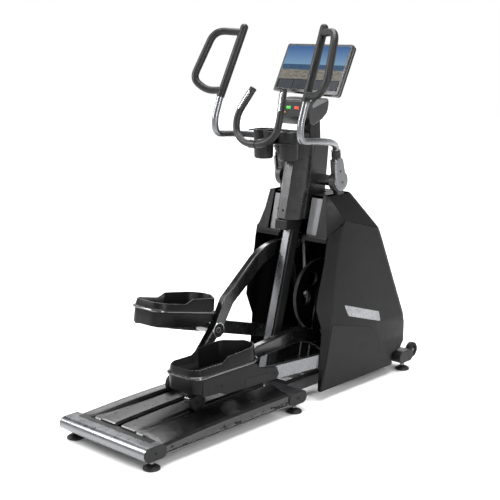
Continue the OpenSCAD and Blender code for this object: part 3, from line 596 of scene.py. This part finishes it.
def drive():
    for node, width in (("drive_frame", 0.0015), ("pivot_shaft", 0.0015), ("magnetic_brake", 0.002),
            ("crankset", 0.002), ("flywheel", 0.0015), ("idler_pulley", 0.001)):
        rounded_copy(node, width, angle=40)
    # the drive pulley is drawn in the painted shade black, so that its rim sinks into the casing's shadow
    rounded_copy("drive_pulley", 0.0015, 3, SHADE_BLACK, 40)
    rounded_copy("drive_belt", 0.0006, 2, angle=50)


# ---------- console, tray and fixed bar ----------


def placed(o, matrix):
    """Moves a new piece's own mesh, before it rides."""
    o.data.transform(matrix)
    return o


CONSOLE_TILT = 27.5
CONSOLE_FOOT = (0.336, 0, 1.416)


def console():
    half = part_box("console_housing")[1].y
    tilt, foot = math.radians(CONSOLE_TILT), Vector(CONSOLE_FOOT)
    turn = Matrix.Translation(foot) @ Matrix.Rotation(tilt, 4, "Y")

    def panel(name, y, z0, z1, x0, x1, corner, slot, mat=None, stands_for=(), bevel=0.003):
        square = [(-y, z0), (y, z0), (y, z1), (-y, z1)]
        ring = rounded_ring(square, corner, 8, 1)
        o = slab(name, ring, "yz", x0, x1, "frame", slot, 0, mat, stands_for)
        placed(o, turn)
        return add_bevel(o, bevel, 4, 30)

    rim = 0.020
    panel("console_bezel", half, -0.012, 0.244, -0.0135, -0.001, 0.012, "gloss_cover", None,
        ["console_housing"], 0.0035)
    panel("console_trim_band", half - 0.0012, -0.0108, 0.2428, -0.001, 0.004, 0.012, "machined_steel",
        MAT["silver_paint"], bevel=0.0008)
    panel("console_back", half - 0.002, -0.010, 0.242, 0.004, 0.020, 0.014, "gloss_cover",
        MAT["black_plastic"], bevel=0.007)
    panel("console_back_box", 0.120, 0.020, 0.186, 0.019, 0.045, 0.020, "black_plastic", None, bevel=0.008)
    screen = panel("screen", half - 0.013, rim - 0.012, 0.244 - 0.012, -0.0148, -0.0125, 0.004,
        "screen_glass", None, ["display"], 0.0005)
    screen.data.materials[0] = MAT["screen_glass"]
    for k in range(9):
        o = slab(f"console_vent_{k}", [(-0.08 + k * 0.02, 0.09), (-0.07 + k * 0.02, 0.09),
            (-0.07 + k * 0.02, 0.16), (-0.08 + k * 0.02, 0.16)], "yz", 0.0445, 0.0462, "frame",
            "black_plastic", 0)
        add_bevel(placed(o, turn), 0.0008)
    # keypad housing: side outline rounded, with a lighter strip along its upper edge
    outline = [(262, 1270), (330, 1290), (378, 1328), (386, 1365), (384, 1392), (330, 1395), (262, 1391),
        (243, 1376), (246, 1300)]
    slab("keypad_body", rounded_ring(outline, 0.014), "xz", -0.098, 0.098, "frame", "gloss_cover", 0.006,
        None, ["keypad_housing"], 4)
    for side, sign in SIDES:
        strip_line = [(266, 1352), (372, 1381), (374, 1390), (300, 1392), (262, 1366)]
        slab(f"keypad_side_strip_{side}", [(x / 1000, z / 1000) for x, z in strip_line], "xz",
            *sorted((sign * 0.0965, sign * 0.0995)), "frame", "silver_paint", 0.001,
            mat=MAT["grey_plastic"])
    face = 0.2445
    slab("keypad_face", [(-0.086, 1.312), (0.086, 1.312), (0.086, 1.382), (-0.086, 1.382)], "yz",
        face - 0.0022, face + 0.004, "frame", "gloss_cover", 0.0015)
    for node, y, slot in (("start_key", 0.024, "green_key"), ("stop_key", -0.024, "red_key")):
        box_lo, box_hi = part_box(node)
        z = (box_lo.z + box_hi.z) / 2
        x = box_lo.x
        outline = [(y - 0.0128, z - 0.0063), (y + 0.0128, z - 0.0063), (y + 0.0128, z + 0.0063),
            (y - 0.0128, z + 0.0063)]
        slab(node + "_cap", outline, "yz", x - 0.002, box_hi.x, BODY[node], slot, 0.0018, None, [node])
    for k, y in enumerate((-0.062, -0.050, 0.050, 0.062)):
        for j, z in enumerate((1.330, 1.352)):
            lathe(f"keypad_button_{k}_{j}", [(-0.001, 0.0042), (0.0015, 0.0042), (0.0024, 0.003)],
                (face - 0.0022, y, z), (-1, 0, 0), "frame", "silver_paint", MAT["grey_plastic"]
                if j else AMBER, n=20)
    rounded_copy("console_neck", 0.005, 4)


def fixed_bar():
    def half(sign):
        return [mm(70, sign * 92, 1442), mm(4, sign * 130, 1326), mm(-13, sign * 122, 1248),
            mm(-30, sign * 55, 1206)]
    line = half(1) + half(-1)[::-1]
    tube("fixed_bar_foam", line, 0.0158, (1, 0, 0.42), "frame", "foam_rubber", 0.045,
        stands_for=["fixed_handlebar"], n=32)
    for side, sign in SIDES:
        a, b = half(sign)[0], half(sign)[1]
        along = (b - a).normalized()
        lathe(f"fixed_bar_cap_{side}", [(-0.004, 0.0165), (0.001, 0.0168), (0.004, 0.0155), (0.0052, 0.011),
            (0.0055, 0.0005)], a, -along, "frame", "black_plastic", n=32)
        out = Vector((-0.87, 0, 0.48)).normalized()
        plate_side = out.cross(along).normalized()
        verts, faces = [], []
        length, cols = (b - a).length * 0.70, 8
        start = a + along * (b - a).length * 0.12
        steps = [0, 0.02, 0.06, 0.5, 0.94, 0.98, 1]
        spread = [0.35, 0.75, 1, 1, 1, 0.75, 0.35]
        for s, w in zip(steps, spread):
            for k in range(cols + 1):
                angle = (k / cols - 0.5) * 1.15 * w
                radial = out * math.cos(angle) + plate_side * math.sin(angle)
                verts.append(start + along * length * s + radial * 0.0172)
        for i in range(len(steps) - 1):
            faces += [(i * (cols + 1) + k, i * (cols + 1) + k + 1, (i + 1) * (cols + 1) + k + 1,
                (i + 1) * (cols + 1) + k) for k in range(cols)]
        o = mesh_object(f"contact_plate_{side}", verts, faces, "frame", "chrome_plate", None,
                        ["contact_plates"] if side == "right" else ())
        thick = o.modifiers.new("wall", "SOLIDIFY")
        thick.thickness, thick.offset = 0.0026, 0.0
    tube("fixed_bar_stem", [mm(-30, 0, 1206), mm(20, 0, 1210), mm(63, 0, 1212)], 0.0150, (0, 1, 0), "frame",
        "black_steel", 0.01, mat=MAT["black_plastic"])
    lathe("fixed_bar_clamp", [(-0.020, 0.0165), (-0.019, 0.0195), (0.019, 0.0195), (0.020, 0.0165)],
        mm(-30, 0, 1206), (0, 1, 0), "frame", "black_plastic")


def tray():
    """Two round cups and a bin between them, with a thin raised rim, on an arm from the mast."""
    cup_r, wall, deep = 0.046, 0.0035, 1.124
    for side, sign in SIDES:
        profile = [(deep, 0.0005), (deep, 0.038), (deep + 0.004, 0.0425), (deep + 0.01, 0.044),
            (1.252, cup_r + 0.001), (1.2565, cup_r + 0.0005), (1.2585, cup_r - 0.002),
            (1.2565, cup_r - 0.0045), (1.245, cup_r - wall - 0.0015), (deep + 0.008, 0.0405),
            (deep + 0.006, 0.036), (deep + 0.006, 0.0005)]
        o = lathe(f"cup_{side}", [(h, r) for h, r in profile], (0.124, sign * 0.075, 0), (0, 0, 1), "frame",
            "black_plastic", n=56)
        if side == "right":
            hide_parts("accessory_tray")
        lathe(f"cup_rim_{side}", [(1.2562, cup_r + 0.0012), (1.2592, cup_r + 0.0005),
            (1.2592, cup_r - 0.0028), (1.2562, cup_r - 0.004)], (0.124, sign * 0.075, 0), (0, 0, 1),
            "frame", "gloss_cover", MAT["grey_paint"], n=56)
    # the bin between the cups: floor and four walls drawn as a rounded tray
    rim_line = [(66, -30), (190, -30), (190, 30), (66, 30)]
    ring = rounded_ring(rim_line, 0.012)
    c = Vector((0.128, 0))

    def drawn(k):
        return [Vector((c.x + (x - c.x) * k, c.y + (y - c.y) * k)) for x, y in ring]
    levels = [(1.204, 0.3), (1.204, 0.86), (1.210, 0.93), (1.252, 0.985), (1.256, 1.0)]
    rows = [[Vector((p.x, p.y, z)) for p in drawn(k)] + [Vector((drawn(k)[0].x, drawn(k)[0].y, z))] for z,
        k in levels]
    rows.insert(0, [Vector((c.x + (p.x - c.x) * 0.02, p.y * 0.02, 1.204)) for p in rows[0]])
    grid_skin("tray_bin", rows, "frame", "black_plastic", 0.003, bevel=0.001)
    slab("tray_deck", [(0.062, -0.060), (0.080, -0.118), (0.168, -0.118), (0.192, -0.060), (0.192, 0.060),
        (0.168, 0.118), (0.080, 0.118), (0.062, 0.060)], "xy", 1.199, 1.2035, "frame", "black_plastic",
        0.0015)
    slab("tray_arm", [(0.188, 1.199), (0.262, 1.199), (0.300, 1.187), (0.332, 1.187), (0.326, 1.232),
        (0.188, 1.246)], "xz", -0.032, 0.032, "frame", "black_plastic", 0.004)
    for side, sign in SIDES:
        tube(f"tray_rail_{side}", [mm(70, sign * 118, 1254), mm(176, sign * 118, 1254), mm(198, sign * 84,
            1254), mm(200, sign * 20, 1250)], 0.0035, (0, 0, 1), "frame", "black_steel", 0.02, n=16)


# ---------- handlebars and swing arms ----------


def handlebar(side, sign):
    arm = side + "_arm"

    def at(points):
        return [mm(x, -sign * y, z) for x, y, z in points]
    line = at([(352, -172, 1124), (332, -184, 1182), (250, -222, 1208), (150, -250, 1222), (-6, -256, 1232),
        (-12, -258, 1300), (25, -257, 1400)])
    tube(side + "_handle_tube", line, 0.0155, (0.15, -sign, 0.1), arm, "silver_paint", 0.05,
        stands_for=[side + "_handle"], n=32)
    low, top = at([(25.4, -257, 1401.2), (169, -238, 1716)])
    d = (top - low).normalized()
    foam = 0.0185
    profile = [(-0.002, 0.0158), (0.0, foam - 0.0012), (0.0025, foam)]
    n = 10
    length = (top - low).length
    profile += [(length - 0.002 + (foam - 0.001) * math.sin(math.pi / 2 * k / n),
        foam * math.cos(math.pi / 2 * k / n) + 1e-4) for k in range(n + 1)]
    lathe(side + "_grip_foam", profile, low, d, arm, "foam_rubber", stands_for=[side + "_grip"], n=36,
        smooth=60)
    loop = at([(158, -240, 1692), (97, -360, 1700), (-12, -400, 1478), (10, -330, 1428), (36, -255, 1430)])
    tube(side + "_loop_foam", loop, 0.0172, (0.83, 0.12 * -sign, -0.5), arm, "foam_rubber", 0.055, n=32)
    # boot, capsule cover and pivot disc
    lo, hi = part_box(side + "_pivot_cover")
    pivot = JOINT[side + "_handle_swing"]
    top_x, top_z = 0.354, 1.100
    y_in, y_out = (hi.y, lo.y) if side == "right" else (lo.y, hi.y)
    r0, r1 = 0.036, 0.029
    a, b = Vector((pivot.x, pivot.z)), Vector((top_x, top_z))
    lean = math.atan2(b.y - a.y, b.x - a.x)
    ring = arc(a, r0, [lean + math.pi / 2 + math.pi * k / 16 for k in range(17)])
    ring += arc(b, r1, [lean - math.pi / 2 + math.pi * k / 16 for k in range(17)])
    slab(side + "_pivot_capsule", [tuple(p) for p in ring], "xz", *sorted((y_in, y_out)), arm,
        "silver_paint", 0.0055, None, [side + "_pivot_cover"], 5)
    lathe(side + "_pivot_disc", [(-0.001, 0.046), (0.006, 0.0475), (0.010, 0.046), (0.012, 0.040),
        (0.012, 0.033)], (pivot.x + 0.006, y_in - sign * 0.0025, pivot.z + 0.002), (0, sign, 0), arm,
        "silver_paint")
    for k, (p, q) in enumerate(((0.012, -0.004), (-0.004, 0.050))):
        screw(f"{side}_capsule_screw_{k}", (pivot.x + p - 0.008, y_out, pivot.z + q), (0, sign, 0), arm,
            0.0045, "black_plastic")
    sleeve = [at([(352, -172, 1124)])[0], mm(348, sign * 174, 1140), mm(341, sign * 178, 1158)]
    tube(side + "_boot", [mm(354, sign * 170, 1102)] + sleeve, 0.021, (0.15, -sign, 0.1), arm,
        "foam_rubber", 0.02, n=30)
    for k, p in enumerate(rounded(sleeve, 0.01, 3)[1::2]):
        lathe(f"{side}_boot_ring_{k}", [(-0.003, 0.0212), (-0.0015, 0.0226), (0.0015, 0.0226),
            (0.003, 0.0212)], p, (sleeve[2] - sleeve[0]).normalized(), arm, "foam_rubber", n=30)
    rounded_copy(side + "_swing_arm", 0.003, 4, MAT["black_steel"], 40)
    rounded_copy(side + "_arm_block", 0.001, 2, angle=40)


# ---------- pedals, beams and links ----------

FOOT = JOINT["right_pedal_lift"]


def angle_from(centre, p):
    return math.atan2(p.z - centre.z, p.x - centre.x)


def lift_of(side):
    """The turn about the lower arm pivot from the low position to this side's."""
    low, here = JOINT["right_link_turn"], JOINT[side + "_link_turn"]
    a = angle_from(FOOT, low) - angle_from(FOOT, here)
    centre = Matrix.Translation((FOOT.x, 0, FOOT.z))
    return centre @ Matrix.Rotation(a, 4, "Y") @ centre.inverted()


def link_place(side):
    """Places a link drawn about its pivot in the high position."""
    ring, wheel = JOINT[side + "_link_turn"], JOINT[side + "_roller_spin"]
    left_ring, left_wheel = JOINT["left_link_turn"], JOINT["left_roller_spin"]
    a = angle_from(left_ring, left_wheel) - angle_from(ring, wheel)
    return Matrix.Translation((ring.x, 0, ring.z)) @ Matrix.Rotation(a, 4, "Y")


def tray_outline(d):
    """The pedal in plan, drawn in by d millimetres, with room for the link at its inner front."""
    x0, x1, a, b, c = -632 + d, -219 - d, 33 + d, 235 - d, 36
    step = (-474, -462, -440, -428)
    pts = [(x0, a + c), (x0 + c * 0.8, a)] + [(x, a) for x in step] + [(x1 - 65, a), (x1 - 13, a + 71),
        (x1, a + 82)]
    pts += [(x1, b - c), (x1 - c * 1.4, b)] + [(x, b) for x in step[::-1]] + [(x0 + c * 0.9, b),
        (x0, b - c * 0.9)]
    return rounded_ring(pts, 20, 5, 1)


def pedal(side, sign):
    body = side + "_pedal_arm"
    lift = lift_of(side)

    def top_of(x):
        t = min(1, max(0, (x + 470) / 40))
        return lerp(333, lerp(356, 366, (x + 430) / 200), t)

    def skirt_of(x, y):
        """Height of the skirt's foot, arched over the link at the inner front corner."""
        return 253.6 if x > -320 and y < 122 else lerp(228, 236, min(1, max(0, (x + 626) / 400)))
    # (inset, height) from the skirt's foot over the lip to the floor; "top" and "skirt" follow the length
    levels = [(8, "skirt", 0), (6.5, "skirt", 3), (5, 284, 0), (4.5, 291, 0), (-1.5, 294, 0), (-3, 298, 0),
        (-2, 302, 0), (3, 304.5, 0), (5, 306, 0), (8, "top", -3), (9, "top", 0), (12, "top", 0),
        (13, "top", -3), (17, 262, 0), (20, 258.5, 0)]
    rows = []
    for inset, height, extra in levels:
        ring = tray_outline(inset)
        row = []
        for x, y in ring + ring[:1]:
            z = top_of(x) if height == "top" else skirt_of(x, y) if height == "skirt" else height
            z = max(z + extra, 259.0 if height == "top" and extra < 0 else 0)
            row.append(lift @ mm(x, sign * y, z))
        rows.append(row)
    n = len(rows[0]) - 1
    verts = [p for r in rows for p in r[:-1]]
    faces = ring_faces(len(rows), n)
    faces.append(tuple(range((len(rows) - 1) * n, len(rows) * n)))
    inner = [lift @ mm(x, sign * y, min(skirt_of(x, y) + 1, 253.9)) for x, y in tray_outline(19)]
    under = [lift @ mm(x, sign * y, 254) for x, y in tray_outline(21)]
    base_at = len(verts)
    verts += inner + under
    faces += [(k, (k + 1) % n, base_at + (k + 1) % n, base_at + k) for k in range(n)]
    faces += ring_faces(2, n, base_at)
    faces.append(tuple(range(base_at + n, base_at + 2 * n)))
    o = mesh_object(side + "_pedal_tray", verts, faces, body, "charcoal_shell", None, [side + "_pedal"], 50)
    o.data.materials.append(LIP)
    back = lift.inverted()
    for p in o.data.polygons:
        height = (back @ p.center).z
        if 0.2925 < height < 0.3065 or abs(p.normal.z) > 0.6 and height > 0.32:
            p.material_index = 1
    add_bevel(o, 0.0012, 3, 35)
    # side bracket over the beam, with a pointed front end and a plain raised panel
    outline = [(-585, 216), (-480, 208), (-455, 195), (-122, 183), (-108, 206), (-124, 240), (-236, 262),
        (-262, 290), (-585, 290)]
    bracket = slab(side + "_pedal_bracket", [(x / 1000, z / 1000) for x, z in outline], "xz",
        *sorted((sign * 0.2178, sign * 0.2318)), body, "charcoal_shell", 0)
    add_bevel(placed(bracket, lift), 0.003, 4)
    raised = [(-330, 204), (-180, 199), (-170, 206), (-180, 226), (-330, 234)]
    panel = slab(side + "_bracket_panel", [(x / 1000, z / 1000) for x, z in raised], "xz",
        *sorted((sign * 0.2312, sign * 0.2330)), body, "charcoal_shell", 0)
    add_bevel(placed(panel, lift), 0.0008)
    for k, (x, z) in enumerate(((-470, 236), (-132, 212))):
        screw(f"{side}_bracket_screw_{k}", lift @ mm(x, sign * 231.8, z), (0, sign, 0), body, 0.006,
            "black_plastic")
    # textured pad: a field of rounded lumps on a thin base
    plan = tray_outline(22)
    deck = slab(side + "_pad_base", [(x / 1000, sign * y / 1000) for x, y in plan], "xy", 0.2590, 0.2650,
        body, "foot_rubber", 0, PAD, [side + "_foot_pad"])
    add_bevel(placed(deck, lift), 0.0008)
    lumps_v, lumps_f = [], []
    pitch = 15.5
    for i in range(-12, 12):
        for j in range(-7, 7):
            x = -425 + (i + 0.5 * (j % 2)) * pitch
            y = 138 + j * pitch * 0.87
            if not (-588 < x < -262 and 74 + max(0, -560 - x) < y < 204 - max(0, -560 - x)):
                continue
            if x > -300 and not 96 < y < 182:
                continue
            base_at = len(lumps_v)
            for r, h in ((7.0, 264.8), (6.3, 269.5), (3.8, 272.0)):
                lumps_v += [lift @ mm(x + r * math.cos(math.pi / 4 * k) * 1.15,
                    sign * (y + r * math.sin(math.pi / 4 * k) * 0.8), h) for k in range(8)]
            for lvl in (0, 1):
                lumps_f += [(base_at + lvl * 8 + k, base_at + lvl * 8 + (k + 1) % 8,
                    base_at + lvl * 8 + 8 + (k + 1) % 8, base_at + lvl * 8 + 8 + k) for k in range(8)]
            lumps_f += [tuple(base_at + 16 + k for k in range(8)), tuple(base_at + 7 - k for k in range(8))]
    mesh_object(side + "_pad_lumps", lumps_v, lumps_f, body, "foot_rubber", PAD, (), 70)


def beam(side, sign):
    """The beam, and the ringed cap on the inner side of the link's pivot."""
    rounded_copy(side + "_beam", 0.005, 4, MAT["silver_paint"], 40)
    ring, body = JOINT[side + "_link_turn"], side + "_link_arm"
    centre, inward = (ring.x, sign * 56 / 1000 + sign * 0.0035, ring.z), (0, -sign, 0)
    band = [(-0.001, 0.0345), (0.003, 0.0355), (0.0055, 0.0345), (0.0055, 0.0312), (0.0015, 0.0305)]
    cap = [(-0.001, 0.0302), (0.002, 0.0300), (0.0035, 0.022), (0.0022, 0.020), (0.0022, 0.011),
        (0.005, 0.0095), (0.0055, 0.0005)]
    lathe(side + "_inner_ring", band, centre, inward, body, "chrome_plate", n=56)
    lathe(side + "_inner_cap", cap, centre, inward, body, "black_plastic", n=48)


def link(side, sign):
    body = side + "_link_arm"
    place = link_place(side)
    wheel, bend, knee, eye = Vector((-217, -212)), Vector((75, 120.5)), Vector((330, 314)), Vector((600,
        332))
    upper = [Vector((p.x, p.y)) for p in rounded([(*bend, 0), (*knee, 0), (*eye, 0)], 90, 10)]

    def edge(points, w, way):
        out = []
        for i, p in enumerate(points):
            t = (points[min(i + 1, len(points) - 1)] - points[max(i - 1, 0)]).normalized()
            out.append(p + Vector((-t.y, t.x)) * w / 2 * way)
        return out
    across = Vector((-wheel.y, wheel.x)).normalized() * -1
    if across.dot(Vector((-1, 1))) < 0:
        across = -across
    over = [wheel + across * 15, across * 29, bend + Vector((-0.82, 0.57)) * 31] + edge(upper, 72, 1)[2:]
    lower = edge(upper, 72, -1)[2:][::-1] + [bend + Vector((0.86, -0.5)) * 35, Vector((30, -10)),
        -across * 27, wheel - across * 15]
    end = arc(eye, 36, [math.pi / 2 - 0.07 - math.pi * k / 12 for k in range(1, 12)])
    toe = arc(wheel, 15.5, [math.atan2(-across.y, -across.x) - math.pi * k / 8 for k in range(1, 8)])
    outline = [(p.x / 1000, p.y / 1000) for p in over + end + lower + toe]
    o = slab(side + "_link_bar", outline, "xz", *sorted((sign * 0.060, sign * 0.100)), body, "gloss_paint",
        0, None, [side + "_link"])
    add_bevel(placed(o, place), 0.009, 5, 35)
    node = side + "_roller"
    c = JOINT[side + "_roller_spin"]
    c = Vector((c.x, sign * 0.131, c.z))
    tyre = [(-0.009, 0.008), (-0.009, 0.026), (-0.012, 0.028), (-0.013, 0.036), (-0.0105, 0.0397),
        (0, 0.040), (0.0105, 0.0397), (0.013, 0.036), (0.012, 0.028), (0.009, 0.026), (0.009, 0.008)]
    # painted shade: the roller axle, machined steel in truth, is drawn in the shade black, and the tyre in dull
    # black rubber, so that the roller reads as the shadow under the pedal
    lathe(node + "_tyre", tyre, c, (0, 1, 0), BODY[node], "roller_tyre", stands_for=[node], n=56)
    lathe(node + "_axle", [(-0.060, 0.0079), (0.012, 0.0079)], c, (0, sign, 0), BODY[node],
        "machined_steel", SHADE_BLACK)


# ---------- floor, light and camera ----------


def studio():
    me = bpy.data.meshes.new("studio_floor")
    r = 14.0
    me.from_pydata([(-r, -r, 0), (r, -r, 0), (r, r, 0), (-r, r, 0)], [], [(0, 1, 2, 3)])
    floor = bpy.data.objects.new("studio_floor", me)
    COLLECTION.objects.link(floor)
    m, t, s = node_tree("pale_floor", (0.9, 0.9, 0.9), 0.6, specular=0.1)
    t.links.new(ramp(t, noise(t, 0.8), (0.89, 0.89, 0.89), (0.91, 0.91, 0.91)), s.inputs["Base Color"])
    me.materials.append(m)
    # white round the horizon, darker overhead, so that upright and flat faces part
    world = bpy.data.worlds.new("studio_world")
    bpy.context.scene.world = world
    world.use_nodes = True
    w = world.node_tree
    coord, split = w.nodes.new("ShaderNodeTexCoord"), w.nodes.new("ShaderNodeSeparateXYZ")
    w.links.new(coord.outputs["Generated"], split.inputs["Vector"])
    shade = ramp(w, split.outputs["Z"], (1, 1, 1), (0.16, 0.16, 0.165), 0.12, 0.62)
    w.links.new(shade, w.nodes["Background"].inputs["Color"])
    w.nodes["Background"].inputs["Strength"].default_value = 1.0
    sun = bpy.data.lights.new("overhead_sun", "SUN")
    sun.energy, sun.angle = 3.0, 0.9
    o = bpy.data.objects.new("overhead_sun", sun)
    COLLECTION.objects.link(o)
    far = bpy.data.lights.new("far_sun", "SUN")
    far.energy, far.angle = 1.6, 0.5
    o = bpy.data.objects.new("far_sun", far)
    COLLECTION.objects.link(o)
    o.rotation_mode = "QUATERNION"
    o.rotation_quaternion = Vector((-0.52, -0.48, -0.70)).to_track_quat("-Z", "Y")

    def area(name, place, aim, size, power, height=None):
        light = bpy.data.lights.new(name, "AREA")
        light.energy, light.size = power, size
        if height:
            light.shape, light.size_y = "RECTANGLE", height
        o = bpy.data.objects.new(name, light)
        COLLECTION.objects.link(o)
        o.location = place
        o.rotation_mode = "QUATERNION"
        o.rotation_quaternion = (Vector(aim) - Vector(place)).to_track_quat("-Z", "Y")
    area("key_panel", (-2.6, 2.6, 3.2), (0, 0, 0.9), 0.5, 190, 2.8)
    area("rim_panel", (-1.0, -4.2, 2.6), (0.1, 0, 0.8), 0.6, 120, 2.6)
    area("top_panel", (0.2, 0, 4.2), (0, 0, 0.5), 2.4, 110)


CAMERA_PLACE = (-3.574, -3.263, 1.746)
CAMERA_HEADING, CAMERA_PITCH = 42.8, 12.0
LENS, SENSOR = 77.76, 36.0


def camera():
    data = bpy.data.cameras.new("camera")
    o = bpy.data.objects.new("camera", data)
    COLLECTION.objects.link(o)
    heading, pitch = math.radians(CAMERA_HEADING), math.radians(CAMERA_PITCH)
    look = Vector((math.cos(heading) * math.cos(pitch), math.sin(heading) * math.cos(pitch),
        -math.sin(pitch)))
    o.location = CAMERA_PLACE
    o.rotation_mode = "QUATERNION"
    o.rotation_quaternion = look.to_track_quat("-Z", "Y")
    data.lens, data.sensor_width = LENS, SENSOR
    data.clip_start, data.clip_end = 0.05, 60
    bpy.context.scene.camera = o


base()
mast()
drive()
console()
fixed_bar()
tray()
for name, direction in SIDES:
    shell(name, direction)
    handlebar(name, direction)
    pedal(name, direction)
    beam(name, direction)
    link(name, direction)
studio()
camera()
bpy.context.scene.view_settings.view_transform = "Standard"
